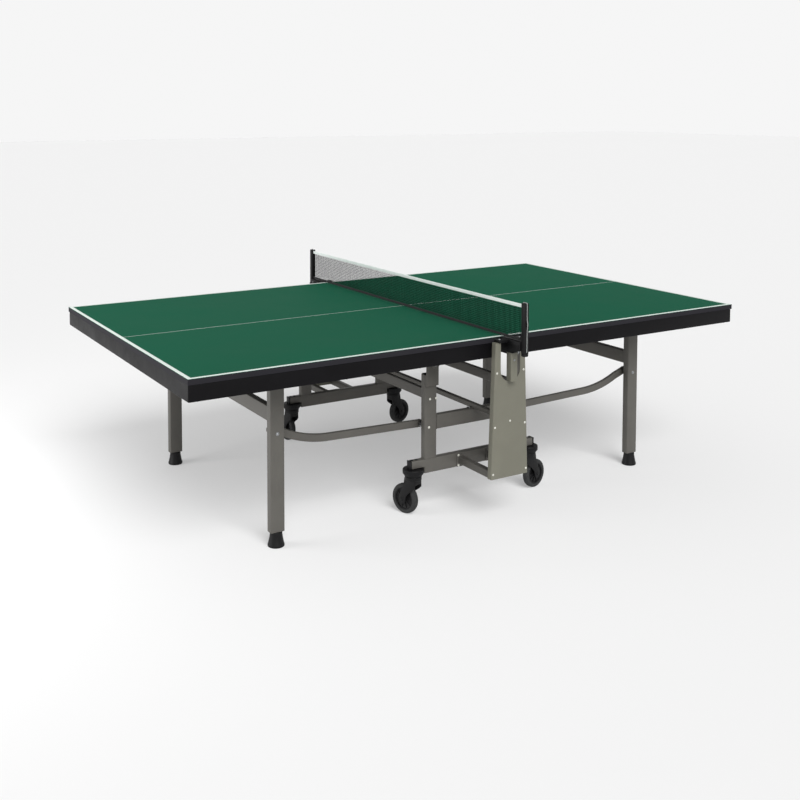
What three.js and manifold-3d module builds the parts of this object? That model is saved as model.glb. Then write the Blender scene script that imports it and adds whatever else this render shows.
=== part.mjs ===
// Indoor table-tennis table with a wheeled undercarriage, in millimetres, Z up, floor at z = 0.
// X runs along the playing length, Y across it; "near" is -Y, "far" is +Y, "left" is -X.
import * as THREE from 'three';
import { mergeVertices } from 'three/addons/utils/BufferGeometryUtils.js';
import Module from 'manifold-3d';

const wasm = await Module();
wasm.setup();

// ---- driving dimensions ----------------------------------------------------
const TABLE_LENGTH = 2740;
const TABLE_WIDTH = 1525;
const TABLE_HEIGHT = 760;
const BOARD_THICKNESS = 22;
const APRON_HEIGHT = 62;
const APRON_DEPTH = 20;
const SEAM_GAP = 2;
const LEG_X = 931;
const LEG_Y = 548;
const LEG_SECTION = { x: 60, y: 35 };
const FRAME_Y = 575;
const FRAME_TUBE = { width: 60, depth: 30 };
const POST_X = 227;
const BEAM_HALF_LENGTH = 320;
const MID_BEAM_BOTTOM = 352;
const PANEL_CLEARANCE = 27.5;
const PANEL = { bottomHalf: 94, topHalf: 75, sheet: 3, flange: 25, saddleGap: 13 };
const WHEEL_RADIUS = 62.5;
const WHEEL_CLEARANCE = 6;
const FORK_HEIGHT = 39;
const CASTER = { x: 304, y: 560, trail: 42 };
const NET_OVERHANG = 152.5;
const POST_HALF = 11;
const NET_HEIGHT = 152.5;
const WALL = 2;
const FIT = 0.3;
const PIN_RADIUS = 5;
const FOOT = { height: 58, radius: 33, stem: 14 };

// ---- sizes worked out from the driving ones --------------------------------
const BOARD_BOTTOM = TABLE_HEIGHT - BOARD_THICKNESS;
const APRON_TOP = BOARD_BOTTOM - FIT;
const APRON_BOTTOM = BOARD_BOTTOM - APRON_HEIGHT;
const APRON_OUT_X = TABLE_LENGTH / 2 - 2;
const APRON_OUT_Y = TABLE_WIDTH / 2 - 2;
const APRON_IN_X = 40;
const SEAM_BEVEL = 13;
const LINK_X = LEG_X - 236;
const LINK_RISE = 80;
const FRAME_PIVOT = { x: 216, z: TABLE_HEIGHT - 125 };
const LINK_FRAME_PIVOT = { x: LEG_X - LINK_X, z: FRAME_PIVOT.z - 270 };
const LINK_LEG_PIVOT = { x: LEG_X, z: LINK_FRAME_PIVOT.z + LINK_RISE };
const LEG_BOARD_PIVOT = { x: FRAME_PIVOT.x + LINK_X, z: FRAME_PIVOT.z + LINK_RISE };
const LEG_TOP = LEG_BOARD_PIVOT.z + 7;
const LEG_BOTTOM = FOOT.height + FIT;
const LEG_IN_Y = LEG_Y - LEG_SECTION.y / 2;
const LEG_OUT_Y = LEG_Y + LEG_SECTION.y / 2;
const LINK_OUT_Y = LEG_Y - FOOT.radius - 3;
const LINK_IN_Y = LINK_OUT_Y - 18;
const LINK_HEIGHT = 32;
const LEG_RAIL_BOTTOM = LINK_LEG_PIVOT.z + 37;
const FRAME_IN_Y = FRAME_Y - FRAME_TUBE.depth;
const NECK_BOTTOM = 2 * WHEEL_RADIUS + WHEEL_CLEARANCE;
const COLLAR_BOTTOM = NECK_BOTTOM + FORK_HEIGHT;
const BEAM_BOTTOM = COLLAR_BOTTOM + 2;
const POST_IN_X = POST_X - FRAME_TUBE.width / 2;
const POST_OUT_X = POST_X + FRAME_TUBE.width / 2;
const POST_TOP = FRAME_PIVOT.z - 47;
const BEAM_TOP = BEAM_BOTTOM + FRAME_TUBE.width;
const NOTCH_TOP = BEAM_BOTTOM + 27;
const MID_BEAM_TOP = MID_BEAM_BOTTOM + FRAME_TUBE.width;
const EAR_IN_Y = LEG_Y + FOOT.radius + 2;
const EAR_OUT_Y = EAR_IN_Y + 6;
const BRACKET_IN_Y = EAR_OUT_Y + 1;
const BRACKET_OUT_Y = BRACKET_IN_Y + 5;
const CROSS_TUBE = { inX: POST_IN_X, outX: POST_IN_X + 18, bottom: 466, top: 510 };
const RAIL_TOP = BOARD_BOTTOM - FIT;
const RAIL_BOTTOM = RAIL_TOP - 5;
const PANEL_Y = TABLE_WIDTH / 2 + PANEL_CLEARANCE + PANEL.flange;
const PANEL_BOTTOM = BEAM_BOTTOM + 16;
const PANEL_TOP = TABLE_HEIGHT - PANEL.saddleGap;
const CUT = { half: 50, centre: PANEL_TOP - 113 };
const NET_POST_Y = TABLE_WIDTH / 2 + NET_OVERHANG - POST_HALF;
const NET_TOP = TABLE_HEIGHT + NET_HEIGHT;
const TAPE_HEIGHT = 15;
const NET_BAND_TOP = TABLE_HEIGHT + 13;
const CLAMP_HALF = 17;
const CLAMP_BOTTOM = TABLE_HEIGHT - 54;
const ARM_BOTTOM = CLAMP_BOTTOM + 18;
const STEM_BOTTOM = CUT.centre - CUT.half + 4;
const NET_END_Y = NET_POST_Y - POST_HALF - FIT;

// ---- finishes ----------------------------------------------------------------
const finish = (color, roughness, metalness) =>
  new THREE.MeshStandardMaterial({ color, roughness, metalness });
const GREEN_SURFACE = finish(0x2c614f, 0.55, 0);
const BLACK_RAIL = finish(0x17171a, 0.5, 0.3);
const GREY_TUBE = finish(0x6b6964, 0.45, 0.6);
const GREY_SHEET = finish(0x84847a, 0.5, 0.5);
const STEEL = finish(0x8c8d90, 0.35, 0.9);
const BLACK_PLASTIC = finish(0x151517, 0.5, 0);
const TYRE = finish(0x2a2a2b, 0.85, 0);
const NET_BLACK = finish(0x101412, 0.9, 0);
const TAPE_WHITE = finish(0xe9e9e6, 0.8, 0);
const CORD_GREY = finish(0xb9babb, 0.8, 0);

// ---- shape helpers -------------------------------------------------------------
const object = new THREE.Group();
object.name = 'ping_pong_table';

function toSolid(geometry) {
  const plain = geometry.clone();
  plain.deleteAttribute('normal');
  plain.deleteAttribute('uv');
  const welded = mergeVertices(plain, 1e-4);
  return new wasm.Manifold(new wasm.Mesh({
    numProp: 3,
    vertProperties: new Float32Array(welded.attributes.position.array),
    triVerts: new Uint32Array(welded.index.array),
  }));
}

function toGeometry(solid) {
  const mesh = solid.getMesh();
  const geometry = new THREE.BufferGeometry();
  geometry.setAttribute('position', new THREE.BufferAttribute(new Float32Array(mesh.vertProperties), 3));
  geometry.setIndex(new THREE.BufferAttribute(new Uint32Array(mesh.triVerts), 1));
  geometry.computeVertexNormals();
  return geometry;
}

function addNode(name, solid, material) {
  const node = new THREE.Mesh(toGeometry(solid), material);
  node.name = name;
  object.add(node);
  return node;
}

function join(solids) {
  return solids.reduce((sum, next) => sum.add(next));
}

function box(x0, x1, y0, y1, z0, z1) {
  const geometry = new THREE.BoxGeometry(Math.abs(x1 - x0), Math.abs(y1 - y0), Math.abs(z1 - z0));
  geometry.translate((x0 + x1) / 2, (y0 + y1) / 2, (z0 + z1) / 2);
  return toSolid(geometry);
}

// Extrudes an outline of (x, z) pairs across the table, from one y to another.
function slabY(outline, y0, y1) {
  const shape = new THREE.Shape(outline.map(([x, z]) => new THREE.Vector2(x, z)));
  const low = Math.min(y0, y1);
  const high = Math.max(y0, y1);
  const geometry = new THREE.ExtrudeGeometry(shape, { depth: high - low, bevelEnabled: false });
  geometry.rotateX(Math.PI / 2);
  geometry.translate(0, high, 0);
  return toSolid(geometry);
}

// Extrudes an outline of (y, z) pairs along the table, from -half to half in x.
function slabX(outline, half) {
  const shape = new THREE.Shape(outline.map(([y, z]) => new THREE.Vector2(y, z)));
  const geometry = new THREE.ExtrudeGeometry(shape, { depth: 2 * half, bevelEnabled: false });
  geometry.rotateX(Math.PI / 2);
  geometry.rotateZ(Math.PI / 2);
  geometry.translate(-half, 0, 0);
  return toSolid(geometry);
}

// A rectangular ring, given as [x from, x to, half width in y] outside and inside.
function frameZ([ox0, ox1, outY], [ix0, ix1, inY], z0, z1) {
  return box(ox0, ox1, -outY, outY, z0, z1).subtract(box(ix0, ix1, -inY, inY, z0 - 5, z1 + 5));
}

function rodY(radius, x, z, y0, y1, sides = 16) {
  const geometry = new THREE.CylinderGeometry(radius, radius, Math.abs(y1 - y0), sides);
  geometry.translate(x, (y0 + y1) / 2, z);
  return toSolid(geometry);
}

function rodZ(radius, x, y, z0, z1, sides = 24) {
  const geometry = new THREE.CylinderGeometry(radius, radius, z1 - z0, sides);
  geometry.rotateX(Math.PI / 2);
  geometry.translate(x, y, (z0 + z1) / 2);
  return toSolid(geometry);
}

// Turns a closed (radius, height) profile about the vertical through (x, y).
function turnedZ(profile, x, y, sides = 28) {
  const points = [...profile, profile[0]].map(([r, z]) => new THREE.Vector2(r, z));
  const geometry = new THREE.LatheGeometry(points, sides);
  geometry.rotateX(Math.PI / 2);
  geometry.translate(x, y, 0);
  return toSolid(geometry);
}

// A straight rectangular tube given by its outer box; `axis` is its open direction.
function tubeBoxes(x0, x1, y0, y1, z0, z1, axis) {
  const inset = { x: axis === 'x' ? 0 : WALL, y: axis === 'y' ? 0 : WALL, z: axis === 'z' ? 0 : WALL };
  const outer = box(x0, x1, y0, y1, z0, z1);
  const side = Math.sign(y1 - y0) || 1;
  const sideX = Math.sign(x1 - x0) || 1;
  const inner = box(
    x0 + sideX * inset.x, x1 - sideX * inset.x,
    y0 + side * inset.y, y1 - side * inset.y,
    z0 + inset.z, z1 - inset.z,
  );
  return { outer, inner };
}

const SIDES = [['near', -1], ['far', 1]];
const HALVES = [['left', -1], ['right', 1]];
const CORNERS = [
  ['near_left', -1, -1, [-0.30, 0.95]],
  ['near_right', 1, -1, [0.98, 0.20]],
  ['far_left', -1, 1, [-0.10, 0.99]],
  ['far_right', 1, 1, [0.98, 0.18]],
];

// ---- undercarriage ------------------------------------------------------------
function sideFrame(sy) {
  const y0 = sy * FRAME_IN_Y;
  const y1 = sy * FRAME_Y;
  const tubes = [
    tubeBoxes(-BEAM_HALF_LENGTH, BEAM_HALF_LENGTH, y0, y1, BEAM_BOTTOM, BEAM_TOP, 'x'),
    tubeBoxes(-POST_X, POST_X, y0, y1, MID_BEAM_BOTTOM, MID_BEAM_TOP, 'x'),
    tubeBoxes(-POST_OUT_X, -POST_IN_X, y0, y1, BEAM_BOTTOM + WALL, POST_TOP, 'z'),
    tubeBoxes(POST_IN_X, POST_OUT_X, y0, y1, BEAM_BOTTOM + WALL, POST_TOP, 'z'),
  ];
  const ears = HALVES.flatMap(([, sx]) => {
    const inX = sx * POST_IN_X;
    const outX = sx * POST_OUT_X;
    return [
      box(inX, outX, sy * (FRAME_Y - 1), sy * EAR_OUT_Y, POST_TOP - 46, POST_TOP),
      box(inX, outX, sy * EAR_IN_Y, sy * EAR_OUT_Y, POST_TOP - 10, FRAME_PIVOT.z + 24),
    ];
  });
  const notches = HALVES.map(([, sx]) => box(
    sx * POST_OUT_X, sx * (BEAM_HALF_LENGTH + 5), y0 - sy, y1 + sy, BEAM_BOTTOM - 5, NOTCH_TOP,
  ));
  const holes = HALVES.flatMap(([, sx]) => [
    rodY(PIN_RADIUS + FIT, sx * FRAME_PIVOT.x, FRAME_PIVOT.z, sy * (EAR_IN_Y - 2), sy * (EAR_OUT_Y + 2)),
    rodY(PIN_RADIUS + FIT, sx * LINK_FRAME_PIVOT.x, LINK_FRAME_PIVOT.z, y0 - sy * 2, y1 + sy * 2),
  ]);
  const outer = join([...tubes.map((tube) => tube.outer), ...ears]);
  const inner = join([...tubes.map((tube) => tube.inner), ...notches, ...holes]);
  return outer.subtract(inner);
}

SIDES.forEach(([side, sy]) => addNode(`${side}_side_frame`, sideFrame(sy), GREY_TUBE));

HALVES.forEach(([half, sx]) => {
  const { inX, outX, bottom, top } = CROSS_TUBE;
  const end = FRAME_IN_Y - FIT;
  const tube = tubeBoxes(sx * inX, sx * outX, -end, end, bottom, top, 'y');
  addNode(`${half}_cross_tube`, tube.outer.subtract(tube.inner), GREY_TUBE);
});

{
  const end = PANEL_Y - PANEL.sheet - FIT;
  const tube = tubeBoxes(-11, 11, -end, end, MID_BEAM_TOP + FIT, MID_BEAM_TOP + FIT + 22, 'y');
  addNode('center_tie_bar', tube.outer.subtract(tube.inner), GREY_TUBE);
}

function sidePanel(sy) {
  const { bottomHalf, topHalf, sheet, flange } = PANEL;
  const bottom = PANEL_BOTTOM;
  const top = PANEL_TOP;
  const inset = sheet + 0.1;
  const outline = [[-bottomHalf, bottom], [bottomHalf, bottom], [topHalf, top], [-topHalf, top]];
  const hollow = [
    [-(bottomHalf - inset), bottom - 1], [bottomHalf - inset, bottom - 1],
    [topHalf - inset, top + 1], [-(topHalf - inset), top + 1],
  ];
  const outY = sy * PANEL_Y;
  const plateY = sy * (PANEL_Y - sheet);
  const inY = sy * (PANEL_Y - flange);
  const shell = slabY(outline, inY, outY).subtract(slabY(hollow, inY - sy, plateY));
  const lips = HALVES.map(([, sx]) => box(
    sx * CUT.half, sx * (topHalf - 1), inY, plateY + sy, top - sheet, top,
  ));
  const cutTop = box(-CUT.half, CUT.half, inY - 2 * sy, outY + 2 * sy, CUT.centre, top + 5);
  const cutRound = rodY(CUT.half, 0, CUT.centre, inY - 2 * sy, outY + 2 * sy, 48);
  return join([shell, ...lips]).subtract(join([cutTop, cutRound]));
}

SIDES.forEach(([side, sy]) => addNode(`${side}_side_panel`, sidePanel(sy), GREY_SHEET));

CORNERS.forEach(([corner, sx, sy]) => {
  const strut = tubeBoxes(
    sx * 60, sx * 88, sy * (FRAME_Y + FIT), sy * (PANEL_Y - PANEL.sheet - FIT),
    BEAM_BOTTOM + 15, BEAM_BOTTOM + 46, 'y',
  );
  addNode(`${corner}_panel_strut`, strut.outer.subtract(strut.inner), GREY_TUBE);
});

// ---- casters -------------------------------------------------------------------
CORNERS.forEach(([corner, sx, sy, [tx, ty]]) => {
  const cx = sx * CASTER.x;
  const cy = sy * CASTER.y;
  const slack = WALL + FIT;
  const collarTop = NOTCH_TOP - FIT;
  const mount = join([
    rodZ(44, cx, cy, COLLAR_BOTTOM + 8, collarTop, 32),
    rodZ(38, cx, cy, COLLAR_BOTTOM, COLLAR_BOTTOM + 9, 32),
    box(
      sx * (POST_OUT_X + 4), sx * (BEAM_HALF_LENGTH + 1),
      sy * (FRAME_IN_Y + slack), sy * (FRAME_Y - slack), collarTop - 1, BEAM_TOP - slack,
    ),
    box(
      sx * (BEAM_HALF_LENGTH + FIT), sx * (BEAM_HALF_LENGTH + 6),
      sy * FRAME_IN_Y, sy * FRAME_Y, collarTop - 1, BEAM_TOP,
    ),
  ]).subtract(rodZ(PIN_RADIUS + 1 + FIT, cx, cy, COLLAR_BOTTOM - 2, collarTop - 6, 24));
  addNode(`${corner}_caster_mount`, mount, BLACK_PLASTIC);

  const norm = Math.hypot(tx, ty);
  const along = new THREE.Vector3(tx / norm, ty / norm, 0);
  const up = new THREE.Vector3(0, 0, 1);
  const across = new THREE.Vector3().crossVectors(up, along);
  const place = new THREE.Matrix4().makeBasis(along, across, up).setPosition(cx, cy, 0);
  const moved = (geometry) => toSolid(geometry.applyMatrix4(place));

  const plate = (y0, y1) => {
    const outline = [
      [-24, NECK_BOTTOM + 29], [28, NECK_BOTTOM + 29],
      ...[[58, 15.5], [58, -6.5], [50, -15.5], [34, -15.5], [26, -6.5], [18, 25.5]]
        .map(([x, z]) => [x, WHEEL_RADIUS + z]),
      [-24, NECK_BOTTOM + 3],
    ];
    const shape = new THREE.Shape(outline.map(([x, z]) => new THREE.Vector2(x, z)));
    const geometry = new THREE.ExtrudeGeometry(shape, { depth: y1 - y0, bevelEnabled: false });
    geometry.rotateX(Math.PI / 2);
    geometry.translate(0, y1, 0);
    return moved(geometry);
  };
  const neck = new THREE.BoxGeometry(52, 46, 29);
  neck.translate(2, 0, NECK_BOTTOM + 14.5);
  const axle = new THREE.CylinderGeometry(4, 4, 46, 20);
  axle.translate(CASTER.trail, 0, WHEEL_RADIUS);
  const fork = join([
    plate(18, 23), plate(-23, -18), moved(neck), moved(axle),
    rodZ(35, cx, cy, NECK_BOTTOM + 23, COLLAR_BOTTOM - 1, 28),
    rodZ(PIN_RADIUS + 1, cx, cy, COLLAR_BOTTOM - 2, NOTCH_TOP - 10, 24),
  ]);
  addNode(`${corner}_caster_fork`, fork, BLACK_PLASTIC);

  const turned = (profile, sides) => {
    const points = [...profile, profile[0]].map(([r, y]) => new THREE.Vector2(r, y));
    const geometry = new THREE.LatheGeometry(points, sides);
    geometry.translate(CASTER.trail, 0, WHEEL_RADIUS);
    return moved(geometry);
  };
  const rim = WHEEL_RADIUS - 16.5;
  const hub = turned([
    [4.3, -16], [14, -16], [14, -8], [rim - 8, -6], [rim - 6, -12], [rim, -12],
    [rim, 12], [rim - 6, 12], [rim - 8, 6], [14, 8], [14, 16], [4.3, 16],
  ], 32);
  addNode(`${corner}_wheel_hub`, hub, BLACK_PLASTIC);
  const tyre = turned([
    [rim + FIT, -13], [WHEEL_RADIUS - 6.5, -14], [WHEEL_RADIUS - 1.5, -10], [WHEEL_RADIUS, -5],
    [WHEEL_RADIUS, 5], [WHEEL_RADIUS - 1.5, 10], [WHEEL_RADIUS - 6.5, 14], [rim + FIT, 13],
  ], 40);
  addNode(`${corner}_wheel_tyre`, tyre, TYRE);
});

// ---- playing halves --------------------------------------------------------------
HALVES.forEach(([half, sx]) => {
  const inX = SEAM_GAP / 2;
  const board = slabY([
    [sx * inX, TABLE_HEIGHT], [sx * (inX + SEAM_BEVEL), BOARD_BOTTOM],
    [sx * TABLE_LENGTH / 2, BOARD_BOTTOM], [sx * TABLE_LENGTH / 2, TABLE_HEIGHT],
  ], -TABLE_WIDTH / 2, TABLE_WIDTH / 2);
  addNode(`${half}_board`, board, GREEN_SURFACE);

  const channel = (inset, z0, z1) => frameZ(
    [sx * (APRON_IN_X + inset), sx * (APRON_OUT_X - inset), APRON_OUT_Y - inset],
    [
      sx * (APRON_IN_X + APRON_DEPTH - inset), sx * (APRON_OUT_X - APRON_DEPTH + inset),
      APRON_OUT_Y - APRON_DEPTH + inset,
    ],
    z0, z1,
  );
  const ring = channel(0, APRON_BOTTOM, APRON_TOP)
    .subtract(channel(WALL, APRON_BOTTOM + WALL, APRON_TOP + 5));
  addNode(`${half}_apron_frame`, ring, BLACK_RAIL);

  const px = sx * FRAME_PIVOT.x;
  const pivotRail = join([
    box(px - 40, px + 40, -BRACKET_OUT_Y, BRACKET_OUT_Y, RAIL_BOTTOM, RAIL_TOP),
    ...SIDES.flatMap(([, sy]) => [
      slabY([
        [px - 36, RAIL_BOTTOM + 1], [px + 36, RAIL_BOTTOM + 1],
        [px + 19, FRAME_PIVOT.z - 5], [px - 19, FRAME_PIVOT.z - 5],
      ], sy * BRACKET_IN_Y, sy * BRACKET_OUT_Y),
      rodY(20, px, FRAME_PIVOT.z, sy * BRACKET_IN_Y, sy * BRACKET_OUT_Y, 32),
      rodY(PIN_RADIUS, px, FRAME_PIVOT.z, sy * EAR_IN_Y, sy * (BRACKET_IN_Y + 1)),
    ]),
  ]);
  addNode(`${half}_pivot_rail`, pivotRail, STEEL);

  const hx = sx * LEG_BOARD_PIVOT.x;
  const hingeIn = LEG_OUT_Y + 1.5;
  const hingeRail = join([
    box(hx - 40, hx + 40, -(hingeIn + 5), hingeIn + 5, RAIL_BOTTOM, RAIL_TOP),
    ...SIDES.flatMap(([, sy]) => [
      slabY([
        [hx - 30, RAIL_BOTTOM + 1], [hx + 30, RAIL_BOTTOM + 1],
        [hx + 11, LEG_BOARD_PIVOT.z - 3], [hx - 11, LEG_BOARD_PIVOT.z - 3],
      ], sy * hingeIn, sy * (hingeIn + 5)),
      rodY(12, hx, LEG_BOARD_PIVOT.z, sy * hingeIn, sy * (hingeIn + 5)),
      rodY(PIN_RADIUS, hx, LEG_BOARD_PIVOT.z, sy * (LEG_IN_Y - 1), sy * (hingeIn + 1)),
    ]),
  ]);
  addNode(`${half}_hinge_rail`, hingeRail, STEEL);
});

// ---- leg frames, feet and fold links -----------------------------------------------
HALVES.forEach(([half, sx]) => {
  const halfX = LEG_SECTION.x / 2;
  const x0 = sx * (LEG_X - halfX);
  const x1 = sx * (LEG_X + halfX);
  const tubes = [
    ...SIDES.map(([, sy]) => tubeBoxes(
      x0, x1, sy * LEG_IN_Y, sy * LEG_OUT_Y, LEG_BOTTOM, LEG_TOP, 'z',
    )),
    tubeBoxes(
      sx * (LEG_X - 15), sx * (LEG_X + 15), -(LEG_IN_Y + 4), LEG_IN_Y + 4,
      LEG_RAIL_BOTTOM, LEG_RAIL_BOTTOM + 60, 'y',
    ),
  ];
  const holes = SIDES.flatMap(([, sy]) => [
    rodY(
      PIN_RADIUS + FIT, sx * LEG_BOARD_PIVOT.x, LEG_BOARD_PIVOT.z,
      sy * (LEG_IN_Y - 2), sy * (LEG_OUT_Y + 2),
    ),
    rodY(
      PIN_RADIUS + FIT, sx * LINK_LEG_PIVOT.x, LINK_LEG_PIVOT.z,
      sy * (LEG_IN_Y - 2), sy * (LEG_OUT_Y + 2),
    ),
  ]);
  const frame = join(tubes.map((tube) => tube.outer))
    .subtract(join([...tubes.map((tube) => tube.inner), ...holes]));
  addNode(`${half}_leg_frame`, frame, GREY_TUBE);
});

CORNERS.forEach(([corner, sx, sy]) => {
  const { height, radius, stem } = FOOT;
  const foot = turnedZ([
    [0, 0], [radius - 2, 0], [radius, 2], [radius, 7], [radius - 5, 14], [25, 26], [23.5, 44],
    [24, height - 2], [22, height], [stem, height], [stem, height + 62], [0, height + 62],
  ], sx * LEG_X, sy * LEG_Y);
  addNode(`${corner}_foot`, foot, BLACK_PLASTIC);
});

function linkOutline(sx) {
  const centreline = new THREE.CurvePath();
  const at = (x, z) => new THREE.Vector3(sx * x, z, 0);
  const { x: fx, z: fz } = LINK_FRAME_PIVOT;
  const { x: lx, z: lz } = LINK_LEG_PIVOT;
  const bend = at(lx - 150, fz + 16);
  const before = at(lx - 250, fz + 12);
  const after = at(lx - 62, lz - 22);
  centreline.add(new THREE.LineCurve3(at(fx, fz), before));
  centreline.add(new THREE.QuadraticBezierCurve3(before, bend, after));
  centreline.add(new THREE.LineCurve3(after, at(lx, lz)));
  const points = [at(fx, fz), ...centreline.curves[1].getPoints(16), at(lx, lz)];
  const edge = (sign) => points.map((point, index) => {
    const from = points[Math.max(index - 1, 0)];
    const to = points[Math.min(index + 1, points.length - 1)];
    const run = new THREE.Vector3().subVectors(to, from).normalize();
    return [
      point.x - run.y * sign * LINK_HEIGHT / 2,
      point.y + run.x * sign * LINK_HEIGHT / 2,
    ];
  });
  return [...edge(1), ...edge(-1).reverse()];
}

CORNERS.forEach(([corner, sx, sy]) => {
  const y0 = sy * LINK_IN_Y;
  const y1 = sy * LINK_OUT_Y;
  const ends = [[LINK_FRAME_PIVOT, FRAME_IN_Y], [LINK_LEG_PIVOT, LEG_IN_Y]];
  const link = join([
    slabY(linkOutline(sx), y0, y1),
    ...ends.flatMap(([pivot, face]) => [
      rodY(LINK_HEIGHT / 2, sx * pivot.x, pivot.z, y0, y1, 32),
      rodY(12, sx * pivot.x, pivot.z, y1 - sy, sy * (face - 1)),
      rodY(PIN_RADIUS, sx * pivot.x, pivot.z, y1 - sy, sy * (face + 30)),
    ]),
  ]);
  addNode(`${corner}_fold_link`, link, GREY_TUBE);
});

// ---- net set -------------------------------------------------------------------------
SIDES.forEach(([side, sy]) => {
  const saddle = PANEL_TOP + FIT;
  const armStart = TABLE_WIDTH / 2 + 7.5;
  const armEnd = NET_POST_Y - POST_HALF - FIT;
  const outline = [
    [armStart, CLAMP_BOTTOM], [PANEL_Y + 31, CLAMP_BOTTOM], [PANEL_Y + 69, ARM_BOTTOM],
    [armEnd, ARM_BOTTOM], [armEnd, TABLE_HEIGHT + 1], [armStart, TABLE_HEIGHT + 1],
  ].map(([y, z]) => [sy * y, z]);
  const clamp = join([
    slabX(outline, CLAMP_HALF),
    box(-62, 62, sy * (PANEL_Y - 27), sy * (PANEL_Y + 8), saddle, TABLE_HEIGHT - 1),
  ]);
  addNode(`${side}_net_clamp`, clamp, BLACK_PLASTIC);
  const stem = tubeBoxes(
    -16.5, 16.5, sy * (PANEL_Y - 7), sy * (PANEL_Y + 25), STEM_BOTTOM, CLAMP_BOTTOM - FIT, 'z',
  );
  addNode(`${side}_net_clamp_stem`, stem.outer.subtract(stem.inner), GREY_SHEET);

  const post = join([
    box(
      -POST_HALF, POST_HALF, sy * (NET_POST_Y - POST_HALF), sy * (NET_POST_Y + POST_HALF),
      TABLE_HEIGHT - 48, NET_TOP + 6.5,
    ),
    rodZ(14, 0, sy * NET_POST_Y, TABLE_HEIGHT - 56, TABLE_HEIGHT - 47, 28),
    box(
      -4, 4, sy * (NET_POST_Y + POST_HALF - 1), sy * (NET_POST_Y + POST_HALF + 7),
      TABLE_HEIGHT + 66, TABLE_HEIGHT + 84,
    ),
  ]);
  addNode(`${side}_net_post`, post, BLACK_PLASTIC);

  const outY = sy * (NET_POST_Y + POST_HALF + 2.6);
  const cordTop = NET_TOP + 9.2;
  const path = new THREE.CatmullRomCurve3([
    new THREE.Vector3(0, sy * (NET_POST_Y - POST_HALF + 1), cordTop),
    new THREE.Vector3(0, sy * NET_POST_Y, cordTop + 0.4),
    new THREE.Vector3(0, sy * (NET_POST_Y + POST_HALF - 1), cordTop),
    new THREE.Vector3(0, outY + sy * 0.6, cordTop - 3),
    new THREE.Vector3(0, outY, cordTop - 12),
    new THREE.Vector3(0, outY, TABLE_HEIGHT + 86.5),
  ], false, 'centripetal');
  const section = new THREE.Shape();
  section.absarc(0, 0, 1.5, 0, Math.PI * 2, false);
  const cord = new THREE.ExtrudeGeometry(section, {
    steps: 36, curveSegments: 6, extrudePath: path, bevelEnabled: false,
  });
  addNode(`${side}_net_cord`, toSolid(cord), CORD_GREY);
});

addNode(
  'net_mesh',
  box(-1.5, 1.5, -NET_END_Y, NET_END_Y, NET_BAND_TOP + FIT, NET_TOP - TAPE_HEIGHT),
  NET_BLACK,
);
addNode(
  'net_bottom_band',
  box(-2, 2, -NET_END_Y, NET_END_Y, TABLE_HEIGHT + 3, NET_BAND_TOP),
  NET_BLACK,
);
addNode(
  'net_top_tape',
  box(-2.5, 2.5, -NET_END_Y, NET_END_Y, NET_TOP - TAPE_HEIGHT + FIT, NET_TOP),
  TAPE_WHITE,
);

export default object;
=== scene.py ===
"""A folding indoor table-tennis table: two playing halves on a wheeled undercarriage, with its net set."""

import logging
import math
import random
from dataclasses import dataclass
from enum import Enum
from typing import Any, Callable, Iterable, Sequence

import bmesh
import bpy
from mathutils import Matrix, Vector


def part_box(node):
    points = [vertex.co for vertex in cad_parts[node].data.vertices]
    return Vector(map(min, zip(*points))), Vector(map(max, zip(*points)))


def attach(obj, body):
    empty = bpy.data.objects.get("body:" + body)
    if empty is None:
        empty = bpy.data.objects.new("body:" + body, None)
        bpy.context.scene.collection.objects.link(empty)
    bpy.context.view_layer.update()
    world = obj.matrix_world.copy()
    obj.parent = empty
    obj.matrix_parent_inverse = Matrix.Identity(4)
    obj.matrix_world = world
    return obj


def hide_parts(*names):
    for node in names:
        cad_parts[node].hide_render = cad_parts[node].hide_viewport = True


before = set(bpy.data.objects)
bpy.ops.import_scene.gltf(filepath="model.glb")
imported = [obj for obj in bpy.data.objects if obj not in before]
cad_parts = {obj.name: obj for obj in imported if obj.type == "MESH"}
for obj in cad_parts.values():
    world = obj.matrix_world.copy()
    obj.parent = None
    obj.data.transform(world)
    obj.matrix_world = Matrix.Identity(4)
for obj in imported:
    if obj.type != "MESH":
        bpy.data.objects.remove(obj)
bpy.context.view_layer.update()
LOG = logging.getLogger("table")
MM = 0.001

Point = Sequence[float]
Outline = Sequence[tuple[float, float]]


class Side(Enum):
    """A long side of the table: near is towards -Y."""

    NEAR = -1
    FAR = 1

    @property
    def word(self) -> str:
        """The side's name in piece names."""
        return self.name.lower()


class Half(Enum):
    """A playing half: left is towards -X."""

    LEFT = -1
    RIGHT = 1

    @property
    def word(self) -> str:
        """The half's name in piece names."""
        return self.name.lower()


class Axis(Enum):
    """A frame axis, with the places of the two others in an outline."""

    X = (0, 1, 2)
    Y = (1, 0, 2)
    Z = (2, 0, 1)

    def place(self, level: float, first: float, second: float) -> Vector:
        """Turns a point of an outline to a point in space.

        Args:
            level: its place on this axis.
            first: its first place in the outline.
            second: its second place in the outline.

        Returns:
            The point, in frame order.
        """
        made = Vector((0.0, 0.0, 0.0))
        for index, value in zip(self.value, (level, first, second)):
            made[index] = value
        return made


CORNERS = [(side, half) for side in Side for half in Half]


# ---- finishes -------------------------------------------------------------------


def linear(code: str) -> tuple[float, float, float, float]:
    """Turns an sRGB hex colour to the linear colour that Blender works in.

    Args:
        code: six hex digits, such as "2c614f".

    Returns:
        Linear red, green and blue, and an alpha of 1.
    """
    parts = [int(code[i : i + 2], 16) / 255 for i in (0, 2, 4)]
    bright = [c / 12.92 if c <= 0.04045 else ((c + 0.055) / 1.055) ** 2.4 for c in parts]
    return (bright[0], bright[1], bright[2], 1.0)


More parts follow.
